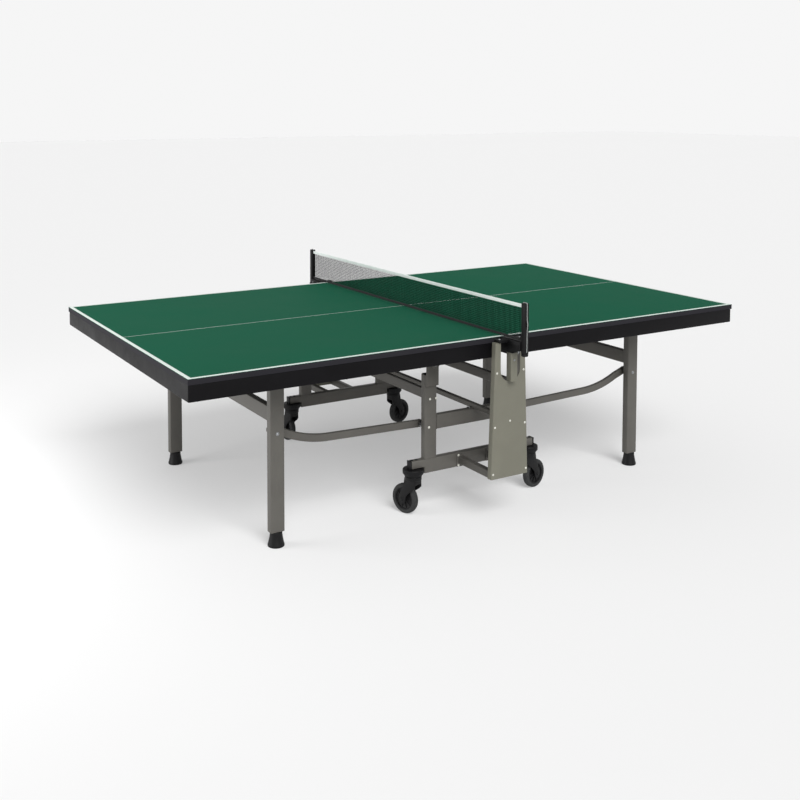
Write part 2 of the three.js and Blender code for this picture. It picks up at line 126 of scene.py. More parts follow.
def per_metre(pitch_mm: float) -> float:
    """The pattern scale that repeats about every pitch_mm, on coordinates in metres."""
    return 1000.0 / pitch_mm


def wave_scale(band_mm: float) -> float:
    """The scale at which a wave pattern's raised bands are about band_mm wide."""
    bands_per_unit = 6.28
    return per_metre(band_mm) / bands_per_unit


def add(
    tree: bpy.types.NodeTree, kind: str, sockets: dict[Any, Any] | None = None, **settings: Any,
) -> bpy.types.Node:
    """Adds one node with its settings, values and links.

    Args:
        tree: the node tree to add to.
        kind: the node's type name.
        sockets: input name or number to a value, or to the output that feeds it.
        **settings: the node's own properties.

    Returns:
        The new node.
    """
    made = tree.nodes.new(kind)
    for key, value in settings.items():
        setattr(made, key, value)
    for key, value in (sockets or {}).items():
        if isinstance(value, bpy.types.NodeSocket):
            tree.links.new(value, made.inputs[key])
        else:
            made.inputs[key].default_value = value
    return made


def noise(
    tree: bpy.types.NodeTree, here: bpy.types.NodeSocket, pitch_mm: float, detail: float, rough: float = 0.5,
) -> bpy.types.NodeSocket:
    """Adds a soft cloudy pattern.

    Args:
        tree: the material's node tree.
        here: place on the object, in metres.
        pitch_mm: usual width of a cloud.
        detail: how many finer layers it has.
        rough: how strong the finer layers are.

    Returns:
        The pattern, about 0.5 in the middle.
    """
    return add(
        tree, "ShaderNodeTexNoise",
        {"Vector": here, "Scale": per_metre(pitch_mm), "Detail": detail, "Roughness": rough},
    ).outputs["Fac"]


@dataclass(frozen=True)
class Finish:
    """A real material and how its surface was made; each kind draws its own pattern.

    Attributes:
        name: common name of the material and its process.
        colour: sRGB hex of the clean surface.
        worn: sRGB hex of its thin, dusty or rubbed patches.
        roughness: middle of the roughness range.
        metallic: 0 for paint, plastic and cloth, 1 for bare metal.
    """

    name: str
    colour: str
    worn: str
    roughness: float
    metallic: float = 0.0

    def material(self) -> bpy.types.Material:
        """Makes the Blender material the first time it is asked for.

        Returns:
            The one material of this finish.
        """
        known = bpy.data.materials.get(self.name)
        if known:
            return known
        made = bpy.data.materials.new(self.name)
        made.use_nodes = True
        tree = made.node_tree
        tree.nodes.clear()
        here = add(tree, "ShaderNodeTexCoord").outputs["Object"]
        shader = add(
            tree,
            "ShaderNodeBsdfPrincipled",
            {"Base Color": linear(self.colour), "Roughness": self.roughness, "Metallic": self.metallic},
        )
        self.draw(tree, shader, here)
        add(tree, "ShaderNodeOutputMaterial", {"Surface": shader.outputs["BSDF"]})
        return made

    def draw(self, tree: bpy.types.NodeTree, shader: bpy.types.Node, here: bpy.types.NodeSocket) -> None:
        """Draws the finish's own pattern into its shader.

        Args:
            tree: the material's node tree.
            shader: its Principled shader.
            here: place on the object at rest, in metres.
        """
        raise NotImplementedError

    def mottle(
        self, tree: bpy.types.NodeTree, shader: bpy.types.Node, here: bpy.types.NodeSocket,
        patch_mm: float, share: float, spread: float,
    ) -> None:
        """Varies colour and roughness in soft patches, as handling and dust do.

        Args:
            tree: the material's node tree.
            shader: its Principled shader.
            here: place on the object, in metres.
            patch_mm: usual width of a patch.
            share: how far the colour goes towards the worn one.
            spread: half the range that the roughness moves over.
        """
        patches = noise(tree, here, patch_mm, 5.0, 0.6)
        amount = add(
            tree, "ShaderNodeMapRange",
            {"Value": patches, "From Min": 0.38, "From Max": 0.68, "To Min": 0.0, "To Max": share},
        ).outputs["Result"]
        colour = add(
            tree, "ShaderNodeMix",
            {0: amount, 6: linear(self.colour), 7: linear(self.worn)}, data_type="RGBA",
        ).outputs[2]
        rough = add(
            tree, "ShaderNodeMapRange",
            {
                "Value": patches, "From Min": 0.3, "From Max": 0.7,
                "To Min": self.roughness - spread, "To Max": self.roughness + spread,
            },
        ).outputs["Result"]
        tree.links.new(colour, shader.inputs["Base Color"])
        tree.links.new(rough, shader.inputs["Roughness"])

    def relief(
        self, tree: bpy.types.NodeTree, shader: bpy.types.Node, height: bpy.types.NodeSocket,
        depth_mm: float, strength: float,
    ) -> None:
        """Bumps the surface by a height pattern.

        Args:
            tree: the material's node tree.
            shader: its Principled shader.
            height: the pattern, from 0 to 1.
            depth_mm: how deep it is.
            strength: how strongly it shows, from 0 to 1.
        """
        bump = add(
            tree, "ShaderNodeBump", {"Height": height, "Distance": depth_mm * MM, "Strength": strength},
        )
        tree.links.new(bump.outputs["Normal"], shader.inputs["Normal"])


@dataclass(frozen=True)
class RolledLacquer(Finish):
    """Matte acrylic lacquer rolled on a wood panel: an even, faintly stippled surface that hardly shines."""

    stipple_mm: float = 2.2

    def draw(self, tree: bpy.types.NodeTree, shader: bpy.types.Node, here: bpy.types.NodeSocket) -> None:
        """Draws broad even shade and a fine roller stipple, coarser than the real 0.5 mm so that it shows.

        Args:
            tree: the material's node tree.
            shader: its Principled shader.
            here: place on the object at rest, in metres.
        """
        self.mottle(tree, shader, here, patch_mm=420, share=0.5, spread=0.04)
        stipple = noise(tree, here, self.stipple_mm, 3.0, 0.55)
        self.relief(tree, shader, stipple, depth_mm=0.12, strength=0.22)
        shader.inputs["Specular IOR Level"].default_value = 0.05


@dataclass(frozen=True)
class PowderCoat(Finish):
    """Powder-coated steel: a satin skin with orange peel and a faint sparkle of metal flake."""

    peel_mm: float = 3.0
    flake_mm: float = 0.9
    flake: float = 0.05
    shine: float = 0.25

    def draw(self, tree: bpy.types.NodeTree, shader: bpy.types.Node, here: bpy.types.NodeSocket) -> None:
        """Draws orange peel as shallow round cells, flake as tiny bright cells, and soft handling marks.

        Args:
            tree: the material's node tree.
            shader: its Principled shader.
            here: place on the object at rest, in metres.
        """
        self.mottle(tree, shader, here, patch_mm=95, share=0.55, spread=0.06)
        flakes = add(
            tree, "ShaderNodeTexVoronoi", {"Vector": here, "Scale": per_metre(self.flake_mm)},
        ).outputs["Color"]
        toned = add(
            tree, "ShaderNodeMix",
            {0: self.flake, 6: shader.inputs["Base Color"].links[0].from_socket, 7: flakes},
            data_type="RGBA", blend_type="SOFT_LIGHT",
        ).outputs[2]
        tree.links.new(toned, shader.inputs["Base Color"])
        peel = add(
            tree, "ShaderNodeTexVoronoi",
            {"Vector": here, "Scale": per_metre(self.peel_mm), "Smoothness": 1.0}, feature="SMOOTH_F1",
        ).outputs["Distance"]
        self.relief(tree, shader, peel, depth_mm=0.1, strength=0.3)
        shader.inputs["Specular IOR Level"].default_value = self.shine


@dataclass(frozen=True)
class MouldedPlastic(Finish):
    """Injection-moulded nylon or ABS with a spark-eroded grain that breaks up its shine."""

    grain_mm: float = 1.1
    shine: float = 0.3

    def draw(self, tree: bpy.types.NodeTree, shader: bpy.types.Node, here: bpy.types.NodeSocket) -> None:
        """Draws the mould's fine grain and slightly greyer rubbed patches.

        Args:
            tree: the material's node tree.
            shader: its Principled shader.
            here: place on the object at rest, in metres.
        """
        self.mottle(tree, shader, here, patch_mm=38, share=0.6, spread=0.09)
        grain = noise(tree, here, self.grain_mm, 4.0, 0.7)
        self.relief(tree, shader, grain, depth_mm=0.08, strength=0.35)
        shader.inputs["IOR"].default_value = 1.53
        shader.inputs["Specular IOR Level"].default_value = self.shine


@dataclass(frozen=True)
class TyreRubber(Finish):
    """Moulded grey thermoplastic rubber: dull, with floor scuffs and dust in its pores."""

    pore_mm: float = 1.6

    def draw(self, tree: bpy.types.NodeTree, shader: bpy.types.Node, here: bpy.types.NodeSocket) -> None:
        """Draws scuffed patches and small pores.

        Args:
            tree: the material's node tree.
            shader: its Principled shader.
            here: place on the object at rest, in metres.
        """
        self.mottle(tree, shader, here, patch_mm=16, share=0.85, spread=0.08)
        pores = noise(tree, here, self.pore_mm, 5.0)
        self.relief(tree, shader, pores, depth_mm=0.2, strength=0.5)
        shader.inputs["IOR"].default_value = 1.52
        shader.inputs["Specular IOR Level"].default_value = 0.3


@dataclass(frozen=True)
class ZincPlate(Finish):
    """Zinc-plated steel fasteners: bright, slightly cloudy metal."""

    spangle_mm: float = 1.2

    def draw(self, tree: bpy.types.NodeTree, shader: bpy.types.Node, here: bpy.types.NodeSocket) -> None:
        """Draws the plating's cloudy spangle.

        Args:
            tree: the material's node tree.
            shader: its Principled shader.
            here: place on the object at rest, in metres.
        """
        self.mottle(tree, shader, here, patch_mm=7, share=0.7, spread=0.1)
        cloud = noise(tree, here, self.spangle_mm, 2.0)
        self.relief(tree, shader, cloud, depth_mm=0.03, strength=0.2)


@dataclass(frozen=True)
class SpunThread(Finish):
    """Spun polyester thread or braid: dull and dark between its strands, with a soft sheen at its edges."""

    strand_mm: float = 2.4
    shine: float = 0.3

    def draw(self, tree: bpy.types.NodeTree, shader: bpy.types.Node, here: bpy.types.NodeSocket) -> None:
        """Draws slanting strands across the thread.

        Args:
            tree: the material's node tree.
            shader: its Principled shader.
            here: place on the object at rest, in metres.
        """
        self.mottle(tree, shader, here, patch_mm=9, share=0.6, spread=0.05)
        strands = add(
            tree, "ShaderNodeTexWave",
            {"Vector": here, "Scale": wave_scale(self.strand_mm), "Distortion": 1.5},
            bands_direction="DIAGONAL",
        ).outputs["Fac"]
        self.relief(tree, shader, strands, depth_mm=0.3, strength=0.6)
        shader.inputs["Specular IOR Level"].default_value = self.shine
        shader.inputs["Sheen Weight"].default_value = self.shine / 10
        shader.inputs["Sheen Roughness"].default_value = 0.5


@dataclass(frozen=True)
class WovenTape(Finish):
    """Plain-woven cotton and polyester tape: matte, with raised threads that cross each other."""

    thread_mm: float = 2.0

    def draw(self, tree: bpy.types.NodeTree, shader: bpy.types.Node, here: bpy.types.NodeSocket) -> None:
        """Draws warp and weft as two crossed waves, 2 mm to a thread for a real 0.3 mm, so that they show.

        Args:
            tree: the material's node tree.
            shader: its Principled shader.
            here: place on the object at rest, in metres.
        """
        self.mottle(tree, shader, here, patch_mm=30, share=0.5, spread=0.04)
        scale = wave_scale(self.thread_mm)
        warp, weft = (
            add(
                tree, "ShaderNodeTexWave", {"Vector": here, "Scale": scale, "Distortion": 0.4},
                bands_direction=direction,
            ).outputs["Fac"]
            for direction in ("Y", "Z")
        )
        weave = add(tree, "ShaderNodeMath", {0: warp, 1: weft}, operation="MULTIPLY").outputs[0]
        self.relief(tree, shader, weave, depth_mm=0.25, strength=0.7)
        shader.inputs["Sheen Weight"].default_value = 0.08
        shader.inputs["Sheen Roughness"].default_value = 0.6


@dataclass(frozen=True)
class StudioPaper(Finish):
    """Matte seamless paper under the table, lit from behind so that shadows on it stay pale."""

    glow: float = 0.3

    def draw(self, tree: bpy.types.NodeTree, shader: bpy.types.Node, here: bpy.types.NodeSocket) -> None:
        """Leaves the paper plain, with its light from behind.

        Args:
            tree: the material's node tree.
            shader: its Principled shader.
            here: place on the object at rest, in metres.
        """
        shader.inputs["Specular IOR Level"].default_value = 0.05
        shader.inputs["Emission Color"].default_value = linear("ffffff")
        shader.inputs["Emission Strength"].default_value = self.glow


# Rolled acrylic lacquer on wood: an even matte green with hardly any shine.
GREEN_TOP = RolledLacquer("rolled_acrylic_lacquer_green", "12553e", "175a43", 0.7)
# Screen-printed acrylic lines: flat white, slightly rougher than the green.
LINE_PAINT = RolledLacquer("screen_printed_line_white", "d9e2dd", "cdd6d1", 0.6)
# Lacquered wood edge: charcoal with a dull shine.
BOARD_EDGE = RolledLacquer("lacquered_board_edge_charcoal", "242327", "2b2a2e", 0.55)
# Powder-coated steel aprons: deep black with orange peel and a satin sheen.
APRON_COAT = PowderCoat("powder_coated_steel_black", "060507", "0c0b0e", 0.48, 0.0, peel_mm=4.0, shine=0.12)
# Powder-coated steel tube: warm grey with a faint metallic flake.
TUBE_COAT = PowderCoat("powder_coated_steel_tube_grey", "565450", "5e5c57", 0.48, 0.15)
# Powder-coated sheet steel: a lighter olive grey, satin.
PANEL_COAT = PowderCoat("powder_coated_sheet_steel_grey", "6c6b60", "727166", 0.5, 0.15)
# Injection-moulded nylon: near black, broken up by its spark-eroded grain.
PLASTIC = MouldedPlastic("injection_moulded_nylon_black", "080809", "101012", 0.5, shine=0.2)
# Moulded rubber: dull dark grey with scuffs.
RUBBER = TyreRubber("moulded_rubber_grey", "262728", "343433", 0.85)
# Zinc-plated steel: bright cloudy metal on bolts, pins and stems.
ZINC = ZincPlate("zinc_plated_steel", "a4a6a8", "808284", 0.34, 1.0)
# Moulded screw caps: pale, dull plastic.
SCREW_CAP = MouldedPlastic("moulded_screw_cap_pale_grey", "c9c9c1", "b4b4ab", 0.5)
# Spun polyester net thread: dull black.
NET_THREAD = SpunThread("spun_polyester_net_black", "030504", "080b0a", 0.95, shine=0.04)
# Woven polyester band: matte black with a soft edge sheen.
BAND_CLOTH = WovenTape("woven_tape_black", "0a0c0b", "131615", 0.9)
# Woven cotton tape: matte white.
TAPE_CLOTH = WovenTape("woven_tape_white", "dfe6e2", "cfd6d2", 0.85)
# Braided polyester cord: light grey strands.
TENSION_CORD = SpunThread("braided_cord_light_grey", "a3a8a6", "8b8f8d", 0.8)
# Matte seamless backdrop paper lit from behind: nearly white, no shine.
PAPER = StudioPaper("matte_backdrop_paper", "c7c7c7", "c7c7c7", 0.95)


# ---- forming shapes ----------------------------------------------------------------


def rounded(width: float, height: float, radius: float, steps: int = 3) -> list[tuple[float, float]]:
    """A rectangle with round corners, centred on zero.

    Args:
        width: size along the first direction.
        height: size along the second.
        radius: corner radius.
        steps: segments in each corner.

    Returns:
        Its points, anticlockwise.
    """
    centres = [(1, 1, 0), (-1, 1, 90), (-1, -1, 180), (1, -1, 270)]
    points = []
    for sx, sy, start in centres:
        for i in range(steps + 1):
            angle = math.radians(start + 90 * i / steps)
            points.append((
                sx * (width / 2 - radius) + radius * math.cos(angle),
                sy * (height / 2 - radius) + radius * math.sin(angle),
            ))
    return points


def arc(
    centre: tuple[float, float], radius: float, start: float, sweep: float, steps: int,
) -> list[tuple[float, float]]:
    """The round stretch of an outline.

    Args:
        centre: the arc's centre.
        radius: the arc's radius.
        start: angle of its first point, in degrees.
        sweep: how far it turns, in degrees; clockwise is negative.
        steps: segments in it.

    Returns:
        Its points, both ends among them.
    """
    angles = [math.radians(start + sweep * i / steps) for i in range(steps + 1)]
    return [(centre[0] + radius * math.cos(a), centre[1] + radius * math.sin(a)) for a in angles]


def span(node: str) -> tuple[Vector, Vector]:
    """Lowest and highest corner of a CAD node, in millimetres."""
    low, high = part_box(node)
    return low / MM, high / MM


class Former:
    """Collects the faces of one piece, in millimetres, and turns them into a dressed object."""

    def __init__(self) -> None:
        """Starts with nothing."""
        self.mesh = bmesh.new()

    def absorb(self, part: bmesh.types.BMesh, skin: int | None = 0) -> None:
        """Adds another mesh's faces to this one.

        Args:
            part: the mesh to add; it is freed.
            skin: number of the finish its faces take, or None where they have their own.
        """
        if skin is not None:
            for face in part.faces:
                face.material_index = skin
        scratch = bpy.data.meshes.new("scratch")
        part.to_mesh(scratch)
        part.free()
        self.mesh.from_mesh(scratch)
        bpy.data.meshes.remove(scratch)

    def plate(
        self, outline: Outline, axis: Axis, low: float, high: float,
        edge: float = 1.0, rings: int = 2, skin: int = 0,
    ) -> None:
        """Adds a flat outline pushed along an axis, with its edges rounded.

        Args:
            outline: points in the two other axes, in order.
            axis: direction it is pushed in.
            low: where it starts.
            high: where it ends.
            edge: rounding of the edges.
            rings: segments in the rounding.
            skin: number of the finish.
        """
        part = bmesh.new()
        loops = [[part.verts.new(axis.place(level, a, b)) for a, b in outline] for level in (low, high)]
        count = len(outline)
        part.faces.new(loops[0])
        part.faces.new(loops[1])
        for i in range(count):
            j = (i + 1) % count
            part.faces.new((loops[0][i], loops[0][j], loops[1][j], loops[1][i]))
        bmesh.ops.recalc_face_normals(part, faces=part.faces)
        if edge:
            sharp = [e for e in part.edges if e.calc_face_angle(0.0) > math.radians(25)]
            bmesh.ops.bevel(
                part, geom=sharp, offset=edge, segments=rings, profile=0.5, affect="EDGES",
                clamp_overlap=True,
            )
        self.absorb(part, skin)

    def block(self, low: Point, high: Point, edge: float = 1.5, rings: int = 2, skin: int = 0) -> None:
        """Adds a rounded block.

        Args:
            low: one corner.
            high: the corner across from it; the two may come in any order.
            edge: rounding of the edges.
            rings: segments in the rounding.
            skin: number of the finish.
        """
        x0, x1 = sorted((low[0], high[0]))
        y0, y1 = sorted((low[1], high[1]))
        z0, z1 = sorted((low[2], high[2]))
        self.plate([(x0, z0), (x1, z0), (x1, z1), (x0, z1)], Axis.Y, y0, y1, edge, rings, skin)

    def skin_rings(
        self, rings: Sequence[Sequence[Vector]], closed: bool, capped: bool, skin: int = 0,
    ) -> None:
        """Joins rings of points into a surface.

        Args:
            rings: loops with the same number of points.
            closed: whether the last ring joins the first.
            capped: whether the open ends get a face.
            skin: number of the finish.
        """
        part = bmesh.new()
        made = [[part.verts.new(p) for p in ring] for ring in rings]
        count = len(made[0])
        turns = len(made) if closed else len(made) - 1
        for k in range(turns):
            here, there = made[k], made[(k + 1) % len(made)]
            for i in range(count):
                j = (i + 1) % count
                part.faces.new((here[i], here[j], there[j], there[i]))
        if capped:
            part.faces.new(made[0])
            part.faces.new(made[-1])
        bmesh.ops.recalc_face_normals(part, faces=part.faces)
        self.absorb(part, skin)

    def tube(
        self, low: Point, high: Point, axis: Axis, corner: float = 4.0, wall: float = 2.0, skin: int = 0,
    ) -> None:
        """Adds a hollow rectangular tube with round corners that fills a box.

        Args:
            low: one corner of the box.
            high: the corner across from it.
            axis: direction in which the tube is open.
            corner: radius of the outside corners.
            wall: thickness of the wall.
            skin: number of the finish.
        """
        along, first, second = axis.value
        lows = [min(a, b) for a, b in zip(low, high)]
        highs = [max(a, b) for a, b in zip(low, high)]
        width, height = highs[first] - lows[first], highs[second] - lows[second]
        middle = [(a + b) / 2 for a, b in zip(lows, highs)]
        loops = []
        for inset, level in ((0, lows), (0, highs), (wall, highs), (wall, lows)):
            section = rounded(width - 2 * inset, height - 2 * inset, max(corner - inset, 0.6))
            loops.append([
                axis.place(level[along], middle[first] + a, middle[second] + b) for a, b in section
            ])
        self.skin_rings(loops, closed=True, capped=False, skin=skin)

    def turned(
        self, profile: Outline, centre: Point, along: Point, steps: int = 48, skin: int = 0,
    ) -> None:
        """Adds a shape turned on a lathe.

        Args:
            profile: closed loop of (radius, distance along); points on the line have radius 0.
            centre: where distance 0 lies.
            along: direction of the turning line.
            steps: sides round the circle.
            skin: number of the finish.
        """
        line = Vector(along).normalized()
        side = line.orthogonal().normalized()
        other = line.cross(side)
        part = bmesh.new()
        rows = []
        for radius, distance in profile:
            base = Vector(centre) + line * distance
            if radius < 1e-6:
                rows.append([part.verts.new(base)] * steps)
                continue
            rows.append([
                part.verts.new(base + (side * math.cos(a) + other * math.sin(a)) * radius)
                for a in (math.tau * i / steps for i in range(steps))
            ])
        for k, here in enumerate(rows):
            there = rows[(k + 1) % len(rows)]
            for i in range(steps):
                j = (i + 1) % steps
                corners = list(dict.fromkeys((here[i], here[j], there[j], there[i])))
                if len(corners) > 2:
                    part.faces.new(corners)
        bmesh.ops.recalc_face_normals(part, faces=part.faces)
        self.absorb(part, skin)

    def swept(
        self, path: Sequence[Point], section: Outline, flat: Point,
        closed: bool = False, skin: int = 0,
    ) -> None:
        """Adds a section carried along a path that lies in one plane.

        Args:
            path: points of the centre line.
            section: points across the plane and within it.
            flat: the plane's normal.
            closed: whether the path returns to its start.
            skin: number of the finish.
        """
        points = [Vector(p) for p in path]
        across = Vector(flat).normalized()
        count = len(points)
        rings = []
        for i, point in enumerate(points):
            before = points[i - 1] if i or closed else point
            after = points[(i + 1) % count] if i < count - 1 or closed else point
            run = (after - before).normalized()
            up = across.cross(run)
            rings.append([point + across * a + up * b for a, b in section])
        self.skin_rings(rings, closed=closed, capped=not closed, skin=skin)

    def rod(
        self, at: Point, out: Point, radius: float, start: float, end: float, steps: int = 24, skin: int = 1,
    ) -> None:
        """Adds a plain round pin.

        Args:
            at: where distance 0 lies.
            out: direction of the pin.
            radius: the pin's radius.
            start: distance at which it begins.
            end: distance at which it ends.
            steps: sides round the circle.
            skin: number of the finish.
        """
        self.turned([(0, start), (radius, start), (radius, end), (0, end)], at, out, steps, skin)

    def bolt(self, at: Point, out: Point, radius: float = 6.0, hexagon: bool = False, skin: int = 0) -> None:
        """Adds a fastener's head on its washer.

        Args:
            at: where the washer lies on the surface.
            out: direction in which the head points.
            radius: the head's radius.
            hexagon: whether it is a hexagon; otherwise it is a dome.
            skin: number of the finish.
        """
        self.turned(
            [(0, -0.6), (radius * 1.45, -0.6), (radius * 1.5, 0.4), (radius * 1.35, 1.1), (0, 1.1)],
            at, out, 20, skin,
        )
        if hexagon:
            height = radius * 0.72
            self.turned(
                [(0, 1.0), (radius, 1.0), (radius, height), (radius * 0.86, height + 0.8), (0, height + 0.8)],
                at, out, 6, skin,
            )
            return
        dome = [(radius * math.cos(t), 1.0 + radius * 0.55 * math.sin(t)) for t in (0, 0.35, 0.7, 1.1, 1.35)]
        self.turned([(0, 1.0), *dome, (0, 1.0 + radius * 0.55)], at, out, 20, skin)

    def weld(self, low: Point, high: Point, axis: Axis, radius: float = 1.6) -> None:
        """Adds a weld bead round a rectangle.

        Args:
            low: one corner of the rectangle.
            high: the corner across from it, at the same level on the axis.
            axis: direction across the rectangle.
            radius: the bead's radius.
        """
        along, first, second = axis.value
        middle = [(a + b) / 2 for a, b in zip(low, high)]
        outline = rounded(abs(high[first] - low[first]), abs(high[second] - low[second]), 3.0, 2)
        path = [axis.place(low[along], middle[first] + a, middle[second] + b) for a, b in outline]
        bead = [(radius * math.cos(math.tau * i / 6), radius * math.sin(math.tau * i / 6)) for i in range(6)]
        self.swept(path, bead, axis.place(1, 0, 0), closed=True)

    def piece(
        self, name: str, body: str, finishes: Sequence[Finish],
        stands_for: Iterable[str] = (), slot: str | None = None, smooth_deg: float = 32.0,
    ) -> bpy.types.Object:
        """Turns what was collected into an object that rides on a body.

        Args:
            name: the piece's name.
            body: the body it moves with.
            finishes: its finishes, in the order of their numbers.
            stands_for: CAD nodes that it replaces.
            slot: not used.
            smooth_deg: edges flatter than this are shaded smooth.

        Returns:
            The new object.
        """
        bmesh.ops.scale(self.mesh, vec=(MM, MM, MM), verts=self.mesh.verts)
        for face in self.mesh.faces:
            face.smooth = True
        for edge in self.mesh.edges:
            edge.smooth = len(edge.link_faces) == 2 and edge.calc_face_angle(0.0) < math.radians(smooth_deg)
        mesh = bpy.data.meshes.new(name)
        self.mesh.to_mesh(mesh)
        self.mesh.free()
        made = bpy.data.objects.new(name, mesh)
        for finish in finishes:
            mesh.materials.append(finish.material())
        bpy.context.scene.collection.objects.link(made)
        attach(made, body)
        nodes = list(stands_for)
        if nodes:
            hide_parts(*nodes)
        LOG.info("%s on %s: %d faces", name, body, len(mesh.polygons))
        return made


# ---- the playing halves --------------------------------------------------------------


@dataclass
class PlayingHalf:
    """A board with its lines, apron and the two rails screwed under it; sizes in millimetres."""

    half: Half
    line: float = 17.0
    centre_line: float = 3.0
    seam_bevel: float = 13.0
    round_over: float = 0.9
    apron_depth: float = 20.0
    apron_corner: float = 7.0
    apron_screws: tuple[float, ...] = (70.0, 360.0, 690.0, 1010.0, 1290.0)
    rail_thickness: float = 5.0
    gusset: float = 26.0
    fold_pivot: tuple[float, float] = (216.0, 635.0)
    leg_pivot: tuple[float, float] = (911.0, 715.0)

    @property
    def body(self) -> str:
        """The body this half's pieces ride on."""
        return f"{self.half.word}_half"

    def build(self) -> None:
        """Builds every piece of the half."""
        self.board()
        self.apron()
        self.rail("pivot_rail", self.fold_pivot, eye=20.0, foot=36.0, head=7.0, pin_end=583.0)
        self.rail("hinge_rail", self.leg_pivot, eye=12.0, foot=30.0, head=5.5, pin_end=530.0)

    def board(self) -> None:
        """Builds the panel with painted lines as their own faces."""
        low, high = span(f"{self.half.word}_board")
        sx = self.half.value
        seam = low.x if sx > 0 else high.x
        end = high.x if sx > 0 else low.x
        xs = [seam, end - sx * self.line, end]
        half_line = self.centre_line / 2
        ys = [low.y, low.y + self.line, -half_line, half_line, high.y - self.line, high.y]
        part = bmesh.new()
        top = [[part.verts.new((x, y, high.z)) for y in ys] for x in xs]
        under = {}
        for i, x in enumerate(xs):
            for j, y in enumerate(ys):
                if i in (0, len(xs) - 1) or j in (0, len(ys) - 1):
                    shift = sx * self.seam_bevel if i == 0 else 0.0
                    under[i, j] = part.verts.new((x + shift, y, low.z))
        for i in range(len(xs) - 1):
            for j in range(len(ys) - 1):
                face = part.faces.new((top[i][j], top[i + 1][j], top[i + 1][j + 1], top[i][j + 1]))
                face.material_index = 1 if i == 1 or j in (0, 2, 4) else 0
        rim = [(i, 0) for i in range(len(xs))]
        rim += [(len(xs) - 1, j) for j in range(1, len(ys))]
        rim += [(i, len(ys) - 1) for i in range(len(xs) - 2, -1, -1)]
        rim += [(0, j) for j in range(len(ys) - 2, 0, -1)]
        for here, there in zip(rim, rim[1:] + rim[:1]):
            part.faces.new((
                top[here[0]][here[1]], top[there[0]][there[1]], under[there], under[here],
            )).material_index = 2
        part.faces.new([under[key] for key in rim]).material_index = 2
        bmesh.ops.recalc_face_normals(part, faces=part.faces)
        edges = [
            e for e in part.edges
            if all(v.co.z > high.z - 0.1 for v in e.verts) and e.calc_face_angle(0.0) > math.radians(25)
        ]
        bmesh.ops.bevel(part, geom=edges, offset=self.round_over, segments=3, profile=0.5, affect="EDGES")
        shape = Former()
        shape.absorb(part, skin=None)
        shape.piece(
            f"{self.half.word}_playing_board", self.body, [GREEN_TOP, LINE_PAINT, BOARD_EDGE],
            [f"{self.half.word}_board"], "green_board",
        )

    def apron(self) -> None:
        """Builds the welded apron ring with rounded corners and rounded section edges."""
        low, high = span(f"{self.half.word}_apron_frame")
        height = high.z - low.z
        section = [
            (self.apron_depth / 2 + a, (low.z + high.z) / 2 + b)
            for a, b in rounded(self.apron_depth, height, 2.5)
        ]
        corners = [
            (low.x, low.y, 1, 1, 180), (high.x, low.y, -1, 1, 270),
            (high.x, high.y, -1, -1, 0), (low.x, high.y, 1, -1, 90),
        ]
        rings = []
        for x, y, inx, iny, start in corners:
            for step in range(5):
                angle = math.radians(start + 90 * step / 4)
                ring = []
                for inset, z in section:
                    radius = max(self.apron_corner - inset, 0.4)
                    cx = x + inx * (inset + radius)
                    cy = y + iny * (inset + radius)
                    ring.append(Vector((cx + radius * math.cos(angle), cy + radius * math.sin(angle), z)))
                rings.append(ring)
        shape = Former()
        shape.skin_rings(rings, closed=True, capped=False)
        sx = self.half.value
        seam_x = low.x if sx > 0 else high.x
        for side in Side:
            screw_y = side.value * (high.y - self.apron_depth / 2)
            for along in self.apron_screws:
                shape.bolt((seam_x + sx * along, screw_y, low.z + 0.4), (0, 0, -1), 4.0)
        shape.piece(
            f"{self.half.word}_apron", self.body, [APRON_COAT],
            [f"{self.half.word}_apron_frame"], "black_rail",
        )

    def rail(
        self, word: str, pivot: tuple[float, float], eye: float, foot: float, head: float, pin_end: float,
    ) -> None:
        """Builds a flat rail under the board with a bracket and hinge bolt at each end.

        Args:
            word: the CAD rail's name after the half.
            pivot: distance from the centre and height of the hinge line.
            eye: radius of the bracket round the hinge bolt.
            foot: half the bracket's width where it meets the rail.
            head: radius of the bolt's head.
            pin_end: distance of the pin's end from the table's long middle line.
        """
        node = f"{self.half.word}_{word}"
        low, high = span(node)
        px, pz = self.half.value * pivot[0], pivot[1]
        under = high.z - self.rail_thickness
        shape = Former()
        shape.block((low.x, low.y, under), (high.x, high.y, high.z), 1.2)
        for side in Side:
            sy = side.value
            outer, inner = sy * high.y, sy * (high.y - self.rail_thickness)
            bracket = [(px - foot, high.z - 4), *arc((px, pz), eye, 200, 140, 10), (px + foot, high.z - 4)]
            shape.plate(bracket, Axis.Y, *sorted((inner, outer)), 0.8)
            if word == "pivot_rail":
                gusset = [(inner, under), (inner - sy * self.gusset, under), (inner, under - self.gusset)]
                for x in (px - foot + 4, px + foot - 4):
                    shape.plate(gusset, Axis.X, x - 1.5, x + 1.5, 0.4, 1)
            shape.rod((px, outer, pz), (0, -sy, 0), 5, 0, high.y - pin_end)
            shape.bolt((px, outer, pz), (0, sy, 0), head, hexagon=True, skin=1)
            for x in (low.x + 14, high.x - 14):
                shape.bolt((x, sy * (high.y - 60), under), (0, 0, -1), 5.0, skin=1)
        shape.piece(f"{node}_bracket", self.body, [TUBE_COAT, ZINC], [node], "grey_tube")


# ---- the legs and links ----------------------------------------------------------------


